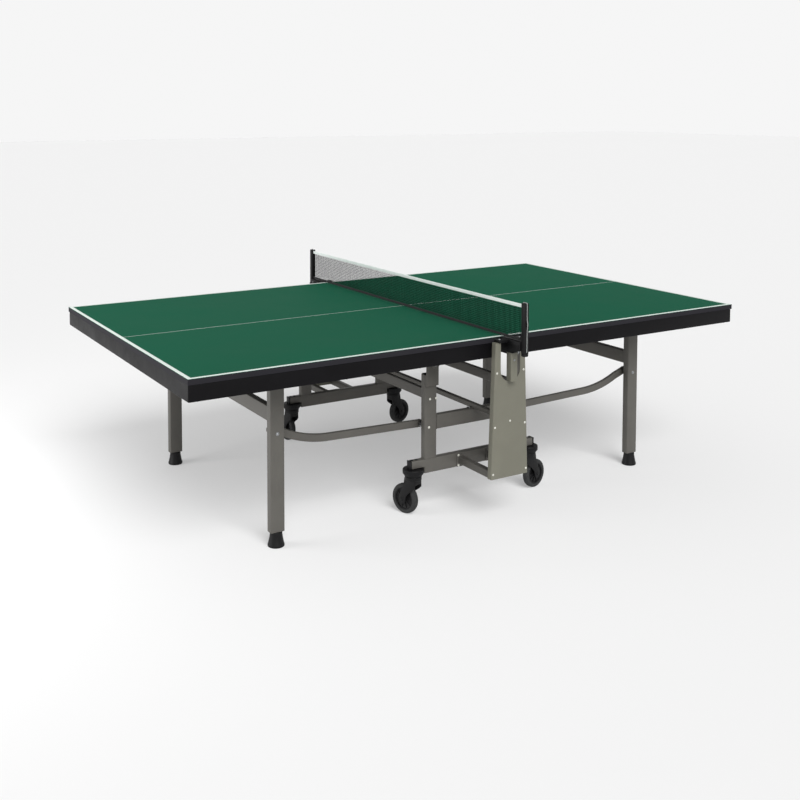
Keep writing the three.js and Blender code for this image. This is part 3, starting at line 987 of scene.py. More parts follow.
@dataclass
class LegFrame:
    """Two legs with their cross tube and feet, and the bent links that fold them; sizes in millimetres.

    Attributes:
        half: the playing half that they carry.
        link_height: height of a link's section.
        link_depth: depth of a link's section.
        link_foot: distance from the centre and height of a link's pivot on the post.
        link_head: the same of its pivot on the leg.
        bend_start: where a link's bend starts, along from its head and up from its foot.
        bend_pull: the point that the bend leans towards, measured the same way.
        bend_end: where the bend ends, along from the head and up from it.
        link_plane: distance of the links' middle from the table's long middle line.
        link_pins: how far out the boss and the pin end, at the foot and at the head.
        leg_depth: depth of a leg's section.
        cross_half: half the width of the cross tube.
        cross_levels: heights of the cross tube's bottom and top.
    """

    half: Half
    link_height: float = 32.0
    link_depth: float = 18.0
    link_foot: tuple[float, float] = (236.0, 365.0)
    link_head: tuple[float, float] = (931.0, 445.0)
    bend_start: tuple[float, float] = (-250.0, 12.0)
    bend_pull: tuple[float, float] = (-150.0, 16.0)
    bend_end: tuple[float, float] = (-62.0, -22.0)
    link_plane: float = 503.0
    link_pins: tuple[tuple[float, float], tuple[float, float]] = ((545.0, 575.0), (531.0, 561.0))
    leg_depth: float = 35.0
    cross_half: float = 15.0
    cross_levels: tuple[float, float] = (482.0, 542.0)

    def build(self) -> None:
        """Builds the legs, the feet and the links."""
        self.legs()
        self.links()
        for side in Side:
            self.foot(side)

    def legs(self) -> None:
        """Builds the welded leg frame."""
        word = self.half.word
        low, high = span(f"{word}_leg_frame")
        middle = (low.x + high.x) / 2
        left, right = middle - self.cross_half, middle + self.cross_half
        bottom, top = self.cross_levels
        shape = Former()
        for side in Side:
            sy = side.value
            outer = sy * high.y
            inner = outer - sy * self.leg_depth
            shape.tube((low.x, inner, low.z), (high.x, outer, high.z), Axis.Z, 5.0)
            weld_y = inner - sy * 0.5
            shape.weld((left, weld_y, bottom), (right, weld_y, top), Axis.Y)
            head_x, head_z = self.link_head
            shape.bolt((self.half.value * head_x, outer, head_z), (0, sy, 0), 5.0, skin=1)
        reach = high.y - self.leg_depth - 0.3
        shape.tube((left, -reach, bottom), (right, reach, top), Axis.Y, 4.0)
        shape.piece(f"{word}_legs", f"{word}_legs", [TUBE_COAT, ZINC], [f"{word}_leg_frame"], "grey_tube")

    def centre_line(self) -> list[Vector]:
        """Works out a link's middle line, which runs level, bends up and meets the leg.

        Returns:
            Points from the post to the leg, at y 0.
        """
        sx = self.half.value
        fx, fz = self.link_foot
        lx, lz = self.link_head
        start, head = Vector((fx, 0, fz)), Vector((lx, 0, lz))
        before = Vector((lx + self.bend_start[0], 0, fz + self.bend_start[1]))
        pull = Vector((lx + self.bend_pull[0], 0, fz + self.bend_pull[1]))
        after = Vector((lx + self.bend_end[0], 0, lz + self.bend_end[1]))
        curve = []
        for i in range(25):
            t = i / 24
            curve.append(before * (1 - t) ** 2 + pull * 2 * t * (1 - t) + after * t**2)
        points = [start.lerp(before, t) for t in (0, 0.25, 0.5, 0.75)] + curve
        points += [after.lerp(head, t) for t in (0.5, 1.0)]
        return [Vector((sx * p.x, p.y, p.z)) for p in points]

    def links(self) -> None:
        """Builds one bent bar on each side, with its eyes, bosses and pivot pins."""
        word = self.half.word
        sx = self.half.value
        for side in Side:
            sy = side.value
            node = f"{side.word}_{word}_fold_link"
            mid_y = sy * self.link_plane
            back = self.link_depth / 2
            shape = Former()
            path = [p + Vector((0, mid_y, 0)) for p in self.centre_line()]
            shape.swept(path, rounded(self.link_depth, self.link_height, 5.0, 4), (0, 1, 0))
            for (x, z), (face, end) in zip((self.link_foot, self.link_head), self.link_pins):
                centre, out = (sx * x, mid_y, z), (0, sy, 0)
                radius = self.link_height / 2
                rim = [(radius - 3, back), (radius - 0.9, back - 0.9), (radius, back - 3)]
                eye = [(0, back), *rim, *[(r, -d) for r, d in reversed(rim)], (0, -back)]
                shape.turned(eye[::-1], centre, out, 40)
                shape.rod(centre, out, 12, back - 1, face - self.link_plane - 0.5, 32)
                shape.rod(centre, out, 5, back - 1, end - self.link_plane)
                shape.bolt((sx * x, mid_y - sy * (back - 0.2), z), (0, -sy, 0), 6.5, hexagon=True, skin=1)
            shape.piece(f"{node}_bar", f"{word}_links", [TUBE_COAT, ZINC], [node], "grey_tube")

    def foot(self, side: Side) -> None:
        """Builds a flared foot with its collar and levelling stem.

        Args:
            side: the long side that it stands on.
        """
        node = f"{side.word}_{self.half.word}_foot"
        low, high = span(node)
        centre = ((low.x + high.x) / 2, (low.y + high.y) / 2, 0)
        bell = [
            (0, 0), (30, 0), (32.4, 0.8), (33, 2.5), (33, 7), (32, 10.5), (30.2, 17), (28.4, 25), (26.8, 33),
            (25.4, 42), (24.6, 48), (24.6, 55.6), (23.6, 57), (22, 58), (14, 58),
        ]
        shape = Former()
        shape.turned([*bell, (14, 120), (0, 120)], centre, (0, 0, 1), 56)
        shape.piece(f"{node}_bell", node, [PLASTIC], [node], "black_plastic")


# ---- the undercarriage -------------------------------------------------------------------


@dataclass
class Undercarriage:
    """The welded side frames, their cross tubes, tie bar, struts and side panels; sizes in millimetres.

    Attributes:
        body: the body that all of it belongs to.
        frame_in: distance of a side frame's inner face from the table's long middle line.
        frame_out: the same of its outer face.
        post_in: distance of a post's inner face from the centre, along the table.
        post_out: the same of its outer face.
        beam_half: half the length of the lower beam.
        beam: heights of the lower beam's bottom and top.
        middle: heights of the middle beam's bottom and top.
        post_top: height of the posts.
        ear: distances of an ear plate's two faces from the long middle line.
        ear_top: height of the ear plates.
        ear_corner: size of their cut corners.
        ear_foot: how far they reach down below the posts' tops.
        post_screws: distance from the centre and height of each cap on a post.
        caster_screws: distances from the centre of the screws over a caster.
        tie_half: half the width of the tie bar.
        tie_ear: distance from the centre to the end of its ears.
        panel_out: distance of a side panel's outer face from the long middle line.
        panel_fold: depth of its folded edges.
        panel_foot: half its width at the bottom.
        panel_head: half its width at the top.
        panel_screws: height of each row and how far in from the edge it sits.
        cut_half: half the width of the cut-out.
        cut_centre: height of the centre of its round end.
        bend: outer radius of the folds.
        sheet: thickness of the sheet.
    """

    body: str = "undercarriage"
    frame_in: float = 545.0
    frame_out: float = 575.0
    post_in: float = 197.0
    post_out: float = 257.0
    beam_half: float = 320.0
    beam: tuple[float, float] = (172.0, 232.0)
    middle: tuple[float, float] = (352.0, 412.0)
    post_top: float = 588.0
    ear: tuple[float, float] = (583.0, 589.0)
    ear_top: float = 659.0
    ear_corner: float = 7.0
    ear_foot: float = 46.0
    post_screws: tuple[tuple[float, float], ...] = ((231.0, 484.0), (201.0, 484.0), (236.0, 365.0))
    caster_screws: tuple[float, float] = (290.0, 312.0)
    tie_half: float = 11.2
    tie_ear: float = 24.0
    panel_out: float = 815.0
    panel_fold: float = 25.0
    panel_foot: float = 94.0
    panel_head: float = 75.0
    panel_screws: tuple[tuple[float, float], ...] = ((624.0, 11.0), (402.0, 10.0), (209.0, 9.0))
    cut_half: float = 50.0
    cut_centre: float = 634.0
    bend: float = 4.0
    sheet: float = 3.0

    @property
    def frame_mid(self) -> float:
        """Distance from the table's long middle line to the middle of a side frame."""
        return (self.frame_in + self.frame_out) / 2

    def build(self) -> None:
        """Builds every fixed piece of the undercarriage but the net set."""
        for side in Side:
            self.side_frame(side)
            self.panel(side)
        for half in Half:
            self.cross_tube(half)
        self.tie_bar()
        for side, half in CORNERS:
            self.strut(side, half)

    def side_frame(self, side: Side) -> None:
        """Builds one welded frame: notched lower beam, two posts, middle beam and the pivot ears.

        Args:
            side: the long side that it stands on.
        """
        sy = side.value
        y0, y1 = sorted((sy * self.frame_in, sy * self.frame_out))
        z0, z1 = self.beam
        end, out, notch = self.beam_half, self.post_out, z0 + 27
        shape = Former()
        outline = [
            (-end, notch), (-out, notch), (-out, z0), (out, z0),
            (out, notch), (end, notch), (end, z1), (-end, z1),
        ]
        shape.plate(outline, Axis.Y, y0, y1, 3.5, 3)
        shape.tube(
            (-self.post_in + 0.4, y0, self.middle[0]), (self.post_in - 0.4, y1, self.middle[1]), Axis.X, 4.5,
        )
        for half in Half:
            sx = half.value
            inner, outer = sx * self.post_in, sx * self.post_out
            shape.tube((inner, y0, z1 - 0.5), (outer, y1, self.post_top), Axis.Z, 4.5)
            shape.weld((inner, y0, z1), (outer, y1, z1), Axis.Z)
            shape.weld((inner - sx * 0.2, y0, self.middle[0]), (inner - sx * 0.2, y1, self.middle[1]), Axis.X)
            ear_foot, shoulder = self.post_top - self.ear_foot, self.ear_top - self.ear_corner
            ear = [
                (inner, ear_foot), (outer, ear_foot), (outer, shoulder),
                (outer - sx * self.ear_corner, self.ear_top), (inner + sx * self.ear_corner, self.ear_top),
                (inner, shoulder),
            ]
            shape.plate(ear, Axis.Y, *sorted(sy * y for y in self.ear), 1.2)
            spacer = self.ear[0] + 1
            shape.block((inner, sy * self.frame_out, ear_foot), (outer, sy * spacer, self.post_top), 1.0)
            shape.block(
                (inner + sx * 2, y0 + 2, self.post_top - 8), (outer - sx * 2, y1 - 2, self.post_top + 3),
                1.5, 2, 1,
            )
            for x, z in self.post_screws:
                shape.bolt((sx * x, sy * self.frame_out, z), (0, sy, 0), 3.4, skin=3)
            for x in self.caster_screws:
                shape.bolt((sx * x, sy * self.frame_mid, z1), (0, 0, 1), 5.0, skin=1)
        self.latch(shape, side)
        shape.piece(
            f"{side.word}_welded_frame", self.body, [TUBE_COAT, PLASTIC, ZINC, SCREW_CAP],
            [f"{side.word}_side_frame"], "grey_tube",
        )

    def latch(self, shape: Former, side: Side) -> None:
        """Adds the black latch block inside one post's ear, and its release button.

        Args:
            shape: the side frame that it is bolted to.
            side: the side it stands on; the far latch is the near one turned half way round.
        """
        sy = side.value
        sx = -sy
        inner = sx * self.post_in
        back, face, width = sy * 579, sy * 592, 13
        bottom, top = 606, 642
        shape.block((inner, back, bottom), (inner - sx * width, face, top), 2.0, 3, 1)
        button, tip = inner - sx * (width - 2), inner - sx * (width + 9)
        shape.block((button, back + sy * 3, bottom + 6), (tip, face - sy * 2, top - 16), 1.6, 3, 1)
        shape.bolt((inner - sx * width / 2, face, top - 8), (0, sy, 0), 2.6, skin=2)

    def cross_tube(self, half: Half) -> None:
        """Builds a tube that joins the near and far posts, with a weld bead at each end.

        Args:
            half: the playing half that it lies under.
        """
        node = f"{half.word}_cross_tube"
        low, high = span(node)
        shape = Former()
        shape.tube(low, high, Axis.Y, 4.0)
        for side in Side:
            y = side.value * (high.y - 0.6)
            shape.weld((low.x, y, low.z), (high.x, y, high.z), Axis.Y)
        shape.piece(f"{node}_rail", self.body, [TUBE_COAT], [node], "grey_tube")

    def tie_bar(self) -> None:
        """Builds the slim bar that runs from panel to panel over the middle beams."""
        low, high = span("center_tie_bar")
        shape = Former()
        shape.tube(low, high, Axis.Y, 3.5)
        for side in Side:
            y = side.value * self.frame_mid
            for start, end in ((-self.tie_ear, -self.tie_half), (self.tie_half, self.tie_ear)):
                shape.block((start, y - 12, low.z), (end, y + 12, low.z + 3), 0.8)
            for x in (-18, 18):
                shape.bolt((x, y, low.z + 3), (0, 0, 1), 3.2, hexagon=True, skin=1)
        shape.piece("center_tie_bar_tube", self.body, [TUBE_COAT, ZINC], ["center_tie_bar"], "grey_tube")

    def strut(self, side: Side, half: Half) -> None:
        """Builds a strut from the lower beam to the panel's foot, with its end plate and bolts.

        Args:
            side: the long side that it stands on.
            half: the playing half that it lies under.
        """
        node = f"{side.word}_{half.word}_panel_strut"
        low, high = span(node)
        sy = side.value
        shape = Former()
        shape.tube(low, high, Axis.Y, 3.5)
        near_frame = sy * (self.frame_out + 0.4)
        sx = half.value
        plate_in, plate_out, plate_face = sx * 59, sx * 94, near_frame + sy * 3
        bottom, top = self.beam[0] + 1, self.beam[1] - 5
        shape.block((plate_in, near_frame, bottom), (plate_out, plate_face, top), 0.9)
        for z in (bottom + 6.5, top - 5):
            shape.bolt((plate_out - sx * 8, plate_face, z), (0, sy, 0), 3.6, skin=1)
        weld_y = near_frame + sy * 3.4
        shape.weld((low.x, weld_y, low.z), (high.x, weld_y, high.z), Axis.Y)
        shape.piece(f"{node}_tube", self.body, [TUBE_COAT, SCREW_CAP], [node], "grey_tube")

    def folded(self, side: Side, half_width: float, z: float) -> list[Vector]:
        """Draws the folded sheet's section at one height.

        Args:
            side: the long side that the panel hangs on.
            half_width: half its width at that height.
            z: the height.

        Returns:
            The points of a closed loop, outside first.
        """
        sy = side.value
        out_y, in_y = sy * self.panel_out, sy * (self.panel_out - self.panel_fold)
        small = self.bend - self.sheet
        outside, inside = [], []
        for sign in (-1, 1):
            for step in range(5)[::-sign]:
                a = math.radians(90 * step / 4)
                cx, cy = sign * (half_width - self.bend), out_y - sy * self.bend
                for radius, loop in ((self.bend, outside), (small, inside)):
                    loop.append(Vector((cx + sign * radius * math.cos(a), cy + sy * radius * math.sin(a), z)))
        return [
            Vector((-half_width, in_y, z)), *outside, Vector((half_width, in_y, z)),
            Vector((half_width - self.sheet, in_y, z)), *inside[::-1],
            Vector((self.sheet - half_width, in_y, z)),
        ]

    def panel(self, side: Side) -> None:
        """Builds a tapered side panel of folded sheet with a U cut open at its top, and its fasteners.

        Args:
            side: the long side that it hangs on.
        """
        sy = side.value
        node = f"{side.word}_side_panel"
        low, high = span(node)
        foot, head, cut = self.panel_foot, self.panel_head, self.cut_half
        out_y, in_y = sy * self.panel_out, sy * (self.panel_out - self.panel_fold)
        bottom, top = low.z, high.z
        shape = Former()
        shape.skin_rings(
            [self.folded(side, foot, bottom), self.folded(side, head, top)], closed=False, capped=True,
        )
        cutter = Former()
        outline = [(-cut, top + 20), *arc((0, self.cut_centre), cut, 180, 180, 28), (cut, top + 20)]
        cutter.plate(outline, Axis.Y, *sorted((in_y - sy * 10, out_y + sy * 10)), 0)
        shape = self.cut_away(shape, cutter)
        for half in Half:
            inner, outer = half.value * (cut + 0.5), half.value * (head - self.sheet - 0.2)
            lip = [(inner, top - 3), (outer, top - 3), (outer, top), (inner, top)]
            shape.plate(lip, Axis.Y, *sorted((in_y, sy * (self.panel_out - self.sheet - 0.2))), 0.5, 1)
        for row, inset in self.panel_screws:
            width = foot + (head - foot) * (row - bottom) / (top - bottom)
            for sx in (-1, 1):
                shape.bolt((sx * (width - inset), out_y, row), (0, sy, 0), 3.2, skin=1)
        shape.bolt((0, out_y, 420), (0, sy, 0), 3.0, skin=1)
        shape.piece(f"{node}_sheet", self.body, [PANEL_COAT, SCREW_CAP], [node], "grey_sheet", 26)

    def cut_away(self, shape: Former, cutter: Former) -> Former:
        """Cuts one shape out of another.

        Args:
            shape: what is kept.
            cutter: what is taken away.

        Returns:
            A new former that holds the result.
        """
        made = []
        for source in (shape, cutter):
            mesh = bpy.data.meshes.new("scratch")
            source.mesh.to_mesh(mesh)
            source.mesh.free()
            body = bpy.data.objects.new("scratch", mesh)
            bpy.context.scene.collection.objects.link(body)
            made.append(body)
        cut = made[0].modifiers.new("cut", "BOOLEAN")
        cut.operation, cut.object, cut.solver = "DIFFERENCE", made[1], "EXACT"
        graph = bpy.context.evaluated_depsgraph_get()
        result = Former()
        result.mesh.from_mesh(made[0].evaluated_get(graph).to_mesh())
        for body in made:
            data = body.data
            bpy.data.objects.remove(body)
            bpy.data.meshes.remove(data)
        return result


# ---- the casters ----------------------------------------------------------------------------


@dataclass
class Caster:
    """A swivel caster: mount in the beam's end, fork, wheel hub and tyre; sizes in millimetres."""

    side: Side
    half: Half
    heading: tuple[float, float]
    stem_x: float = 304.0
    stem_y: float = 560.0
    trail: float = 42.0
    wheel: float = 62.5
    ribs: int = 10

    @property
    def corner(self) -> str:
        """The corner's name in piece names."""
        return f"{self.side.word}_{self.half.word}"

    def build(self) -> None:
        """Builds the mount, the fork, the hub and the tyre."""
        self.mount()
        length = math.hypot(*self.heading)
        along = Vector((self.heading[0] / length, self.heading[1] / length, 0))
        across = Vector((0, 0, 1)).cross(along)
        place = Matrix((along, across, Vector((0, 0, 1)))).transposed().to_4x4()
        place.translation = Vector((self.half.value * self.stem_x, self.side.value * self.stem_y, 0))
        self.fork(place)
        self.wheels(place, across)

    def mount(self) -> None:
        """Builds the ridged collar, and the plug and cap in the beam's end."""
        sx = self.half.value
        cx, cy = sx * self.stem_x, self.side.value * self.stem_y
        shape = Former()
        shape.turned(
            [
                (6.3, 170), (36, 170), (38, 171.5), (38, 177), (42.5, 178), (44, 179.5), (44, 196.5),
                (42.5, 198.4), (6.3, 198.4),
            ],
            (cx, cy, 0), (0, 0, 1), 56,
        )
        cap_half, plug_half = 15.4, 12.0
        shape.block((sx * 326, cy - cap_half, 197.5), (sx * 320.3, cy + cap_half, 232.4), 1.6, 3)
        shape.block((sx * 320.8, cy - plug_half, 202), (sx * 305, cy + plug_half, 229), 1.0)
        for z in (186, 190):
            ridge = [(43.6, z), (44.5, z + 0.6), (44.5, z + 1.4), (43.6, z + 2)]
            shape.turned(ridge, (cx, cy, 0), (0, 0, 1), 56)
        shape.piece(
            f"{self.corner}_caster_collar", "undercarriage", [PLASTIC],
            [f"{self.corner}_caster_mount"], "black_plastic",
        )

    def fork(self, place: Matrix) -> None:
        """Builds the fork: a round head, a neck and two swept-back cheeks with the axle bolt.

        Args:
            place: turns the caster's own directions to the frame's.
        """
        shape = Former()
        cheek = [(-26, 161), (29, 161), (33, 136), (47, 98), (58.5, 74)]
        cheek += arc((42, 62), 17, 20, -200, 10)
        cheek += [(21, 78), (4, 98), (-16, 112), (-26, 122)]
        for low, high in ((18, 23.5), (-23.5, -18)):
            shape.plate(cheek, Axis.Y, low, high, 1.8, 3)
        neck = [(-27, 134), (-12, 131), (12, 130), (27, 136), (30, 160), (-27, 160)]
        shape.plate(neck, Axis.Y, -21, 21, 3.0, 3)
        head = [(0, 152), (33, 152), (35.5, 154), (35.5, 166.5), (33.5, 168.8), (0, 168.8)]
        shape.turned(head, (0, 0, 0), (0, 0, 1), 48)
        stem = [(0, 168), (6, 168), (6, 188), (5, 189), (0, 189)]
        shape.turned(stem, (0, 0, 0), (0, 0, 1), 24, 1)
        shape.rod((self.trail, 0, self.wheel), (0, 1, 0), 4, -23, 23)
        for sign in (-1, 1):
            shape.bolt((self.trail, sign * 23.4, self.wheel), (0, sign, 0), 6.0)
        bmesh.ops.transform(shape.mesh, matrix=place, verts=shape.mesh.verts)
        shape.piece(
            f"{self.corner}_fork", f"{self.corner}_caster", [PLASTIC, ZINC],
            [f"{self.corner}_caster_fork"], "black_plastic",
        )

    def wheels(self, place: Matrix, across: Vector) -> None:
        """Builds the hub with its ribs and the tyre with its moulded shoulders.

        Args:
            place: turns the caster's own directions to the frame's.
            across: direction of the axle.
        """
        centre = place @ Vector((self.trail, 0, self.wheel))
        hub = Former()
        hub.turned(
            [
                (4.4, -16), (12, -16), (14, -14.5), (14.5, -9), (20, -7.5), (36, -6.5), (39.5, -8), (41, -12),
                (45.4, -12.4), (46, -11), (46, 11), (45.4, 12.4), (41, 12), (39.5, 8), (36, 6.5), (20, 7.5),
                (14.5, 9), (14, 14.5), (12, 16), (4.4, 16),
            ],
            centre, across, 64,
        )
        side = across.cross(Vector((0, 0, 1)))
        rib = ((13, 10.5), (24, 8.6), (36, 7.8), (41, 10.5))
        for i in range(self.ribs):
            angle = math.tau * i / self.ribs
            out = side * math.cos(angle) + Vector((0, 0, 1)) * math.sin(angle)
            for sign in (-1, 1):
                path = [centre + out * r + across * sign * d for r, d in rib]
                hub.swept(path, rounded(2.6, 3.0, 0.7, 2), out.cross(across))
        hub.piece(
            f"{self.corner}_hub", f"{self.corner}_wheel", [PLASTIC],
            [f"{self.corner}_wheel_hub"], "black_plastic",
        )
        tyre = Former()
        shoulder = [
            (46.3, -12.8), (50, -13.6), (55.5, -13.9), (58.6, -12.6), (60.9, -10.2), (62.1, -7.2),
            (62.5, -3.6), (62.5, -0.7), (62.1, -0.35), (62.1, 0.35), (62.5, 0.7),
        ]
        mirrored = [(r, -d) for r, d in reversed(shoulder[:7])]
        tyre.turned([*shoulder, *mirrored], centre, across, 72)
        tyre.piece(
            f"{self.corner}_tyre", f"{self.corner}_wheel", [RUBBER], [f"{self.corner}_wheel_tyre"], "tyre",
        )


# ---- the net set -----------------------------------------------------------------------------


@dataclass(frozen=True)
class Ribbon:
    """A tape folded lengthways along the net; sizes in millimetres.

    Attributes:
        name: the piece's name.
        low: height of its bottom edge at the ends.
        high: height of its top edge at the ends.
        depth: distance between its two layers at the middle.
        sway: how far it waves to either side.
        sags: whether it hangs lower in the middle, as the net's top does.
        finish: what it is made of.
        node: the CAD node that it replaces.
        slot: the record's material slot.
    """

    name: str
    low: float
    high: float
    depth: float
    sway: float
    sags: bool
    finish: Finish
    node: str
    slot: str


@dataclass
class NetSet:
    """Clamps, posts, net, tapes and tension cords; sizes in millimetres."""

    body: str = "undercarriage"
    post_y: float = 904.0
    post_half: float = 11.0
    net_top: float = 912.5
    table: float = 760.0
    tape: float = 15.0
    mesh_pitch: float = 8.0
    upright_thread: float = 1.9
    cross_thread: float = 1.3
    cord_radius: float = 1.2

    def build(self) -> None:
        """Builds every piece of the net set."""
        for side in Side:
            self.cord(side)
        for side in Side:
            self.clamp(side)
            self.post(side)
        self.mesh()
        self.band()
        self.top_tape()

    @property
    def reach(self) -> float:
        """Half the length of the net between its posts."""
        return self.post_y - self.post_half - 0.3

    def sag(self, y: float) -> float:
        """How far the taut top hangs below its ends at one place."""
        return 1.6 * (1 - (y / self.reach) ** 2)

    def clamp(self, side: Side) -> None:
        """Builds the clamp housing that reaches out to the post, its saddle on the panel and its stem.

        Args:
            side: the long side that it stands on.
        """
        sy = side.value
        node = f"{side.word}_net_clamp"
        arm_end = self.reach
        half, bottom, top = 17.0, 706.0, self.table + 1.0
        outline = [
            (770, bottom + 3), (773, bottom), (845, bottom), (884, 724),
            (arm_end, 724), (arm_end, top), (770, top),
        ]
        shape = Former()
        shape.plate([(sy * y, z) for y, z in outline], Axis.X, -half, half, 2.2, 3)
        for sx in (-1, 1):
            cheek = [
                (784, bottom + 8), (842, bottom + 7), (878, 731), (885, 733), (885, top - 8), (784, top - 8),
            ]
            skin_deep = sorted((sx * half, sx * (half + 0.9)))
            shape.plate([(sy * y, z) for y, z in cheek], Axis.X, *skin_deep, 0.5, 2)
            saddle_end, saddle_top = sx * 62, self.table - 1
            shape.block((saddle_end, sy * 788, 747.3), (sx * 14, sy * 823, saddle_top), 1.8, 3)
            shape.block((saddle_end, sy * 784, 744.5), (saddle_end - sx * 5, sy * 788.5, saddle_top), 1.0)
            shape.bolt((saddle_end - sx * 10, sy * 806, saddle_top), (0, 0, 1), 3.6, skin=1)
        shape.bolt((0, sy * 868, 716), (0, sy * 0.4, -1), 5.0, hexagon=True, skin=1)
        shape.piece(f"{node}_housing", self.body, [PLASTIC, ZINC], [node], "black_plastic")
        low, high = span(f"{node}_stem")
        stem = Former()
        stem.tube(low, high, Axis.Z, 3.2)
        stem.block(
            (low.x + 2.2, low.y + 2.2, low.z + 1), (high.x - 2.2, high.y - 2.2, low.z + 6), 0.8, 2, 1,
        )
        stem.bolt((0, sy * 840, 676), (0, sy, 0), 3.2, skin=2)
        stem.piece(
            f"{node}_stem_tube", self.body, [PANEL_COAT, PLASTIC, ZINC], [f"{node}_stem"], "grey_sheet",
        )

    def post(self, side: Side) -> None:
        """Builds the square post with its cap, foot knob, cleat and screws.

        Args:
            side: the long side that it stands on.
        """
        sy = side.value
        node = f"{side.word}_net_post"
        y = sy * self.post_y
        half = self.post_half
        shape = Former()
        shape.block((-half, y - half, 712), (half, y + half, self.net_top + 5.2), 2.2, 3)
        cap, cap_foot, cap_top = half - 0.6, self.net_top + 4, self.net_top + 6.5
        shape.block((-cap, y - cap, cap_foot), (cap, y + cap, cap_top), 1.0)
        knob = [(0, 704), (11, 704), (13.5, 705.6), (14, 708), (14, 711), (12.5, 713), (0, 713)]
        shape.turned(knob, (0, y, 0), (0, 0, 1), 40)
        cleat = y + sy * half
        shape.block((-4, cleat - sy * 1, 828), (4, cleat + sy * 4.5, 842), 1.0)
        shape.block((-4, cleat + sy * 2.6, 825.5), (4, cleat + sy * 4.6, 844.5), 0.9)
        for z in (738, 894):
            shape.bolt((half - 0.4, y, z), (1, 0, 0), 2.4, skin=1)
        shape.piece(f"{node}_shaft", self.body, [PLASTIC, ZINC], [node], "black_plastic")

    def cord(self, side: Side) -> None:
        """Builds the tension cord: from the tape over the post, down past the cleat, and its loose end.

        Args:
            side: the long side that it hangs on.
        """
        sy = side.value
        node = f"{side.word}_net_cord"
        y, half = self.post_y, self.post_half
        top = self.net_top + 8.2
        rope = [
            (-half - 2.5, top - 5.5, 0.0), (-half + 1, top, 0.0), (0, top + 0.3, 0.0), (half - 2, top, 0.0),
            (half + 1.2, top - 2.8, 0.0), (half + 1.9, top - 9, 0.0), (half + 1.6, 892, 0.2),
            (half + 1.6, 868, 0.2), (half + 3.2, 850, 0.0), (half + 6.2, 837, 0.0), (half + 4.6, 824, 0.3),
            (half + 2.2, 808, 0.6), (half + 1.5, 780, 0.8), (half + 1.5, 755, 0.6), (half + 1.5, 735, 0.3),
            (half + 1.6, 722, 0.2),
        ]
        curve = bpy.data.curves.new(f"{node}_braid", "CURVE")
        curve.dimensions = "3D"
        line = curve.splines.new("POLY")
        smooth = self.rounded_path([Vector((x, sy * (y + out), z)) for out, z, x in rope])
        line.points.add(len(smooth) - 1)
        for spot, place in zip(line.points, smooth):
            spot.co = (*(place * MM), 1.0)
        curve.bevel_depth = self.cord_radius * MM
        curve.bevel_resolution = 3
        curve.use_fill_caps = True
        made = bpy.data.objects.new(f"{node}_braid", curve)
        curve.materials.append(TENSION_CORD.material())
        bpy.context.scene.collection.objects.link(made)
        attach(made, self.body)
        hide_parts(node)

    @staticmethod
    def rounded_path(points: Sequence[Vector], steps: int = 6) -> list[Vector]:
        """A smooth line through points.

        Args:
            points: the points in order.
            steps: how many short steps between two of them.

        Returns:
            The points of the smooth line.
        """
        padded = [points[0], *points, points[-1]]
        out = []
        for a, b, c, d in zip(padded, padded[1:], padded[2:], padded[3:]):
            for i in range(steps):
                t = i / steps
                out.append(0.5 * (
                    2 * b + (c - a) * t + (2 * a - 5 * b + 4 * c - d) * t**2 + (3 * b - a - 3 * c + d) * t**3
                ))
        out.append(points[-1])
        return out

    def mesh(self) -> None:
        """Builds the net as upright and level threads that cross, each a little off true."""
        chance = random.Random(7)
        low = self.table + 12.0
        high = self.net_top - self.tape + 1.0
        shape = Former()
        upright, cross = (rounded(d, d, d * 0.3, 1) for d in (self.upright_thread, self.cross_thread))
        columns = int(2 * self.reach / self.mesh_pitch)
        pitch = 2 * self.reach / columns
        for i in range(columns + 1):
            y = -self.reach + i * pitch
            y = max(min(y, self.reach - 1), 1 - self.reach)
            drift = [chance.uniform(-0.5, 0.5) for _ in range(3)]
            sag = self.sag(y)
            levels = [low, low + (high - low) / 3, low + 2 * (high - low) / 3, high - sag]
            path = [Vector((0.15, y + d, z)) for d, z in zip([0, *drift], levels)]
            shape.swept(path, upright, (1, 0, 0))
        rows = int((high - low) / self.mesh_pitch)
        for k in range(1, rows + 1):
            path = []
            for i in range(0, columns + 1, 2):
                y = -self.reach + i * pitch
                share = k / (rows + 1)
                z = low + (high - self.sag(y) - low) * share + chance.uniform(-0.35, 0.35)
                path.append(Vector((-0.15, y, z)))
            shape.swept(path, cross, (1, 0, 0))
        made = shape.piece("net_mesh_threads", self.body, [NET_THREAD], ["net_mesh"], "net_black", 60)

    def ribbon(self, tape: Ribbon) -> None:
        """Builds a folded tape that runs the length of the net.

        Args:
            tape: its sizes, finish and names.
        """
        chance = random.Random(len(tape.name))
        shape = Former()
        count = 150
        width = tape.high - tape.low
        knots = [chance.uniform(-1, 1) for _ in range(32)]
        rings = []
        for i in range(count + 1):
            t = i / count
            y = -self.reach + 2 * self.reach * t
            place = t * (len(knots) - 2)
            k = int(place)
            blend = (1 - math.cos(math.pi * (place - k))) / 2
            wave = tape.sway * (knots[k] * (1 - blend) + knots[min(k + 1, len(knots) - 1)] * blend)
            drop = self.sag(y) if tape.sags else 0.0
            ring = []
            for a, b in rounded(tape.depth, width, tape.depth * 0.45, 3):
                lean = wave * (b / width)
                ring.append(Vector((a + wave * 0.6 + lean * 0.5, y, (tape.low + tape.high) / 2 + b - drop)))
            rings.append(ring)
        shape.skin_rings(rings, closed=False, capped=True)
        made = shape.piece(tape.name, self.body, [tape.finish], [tape.node], tape.slot, 50)

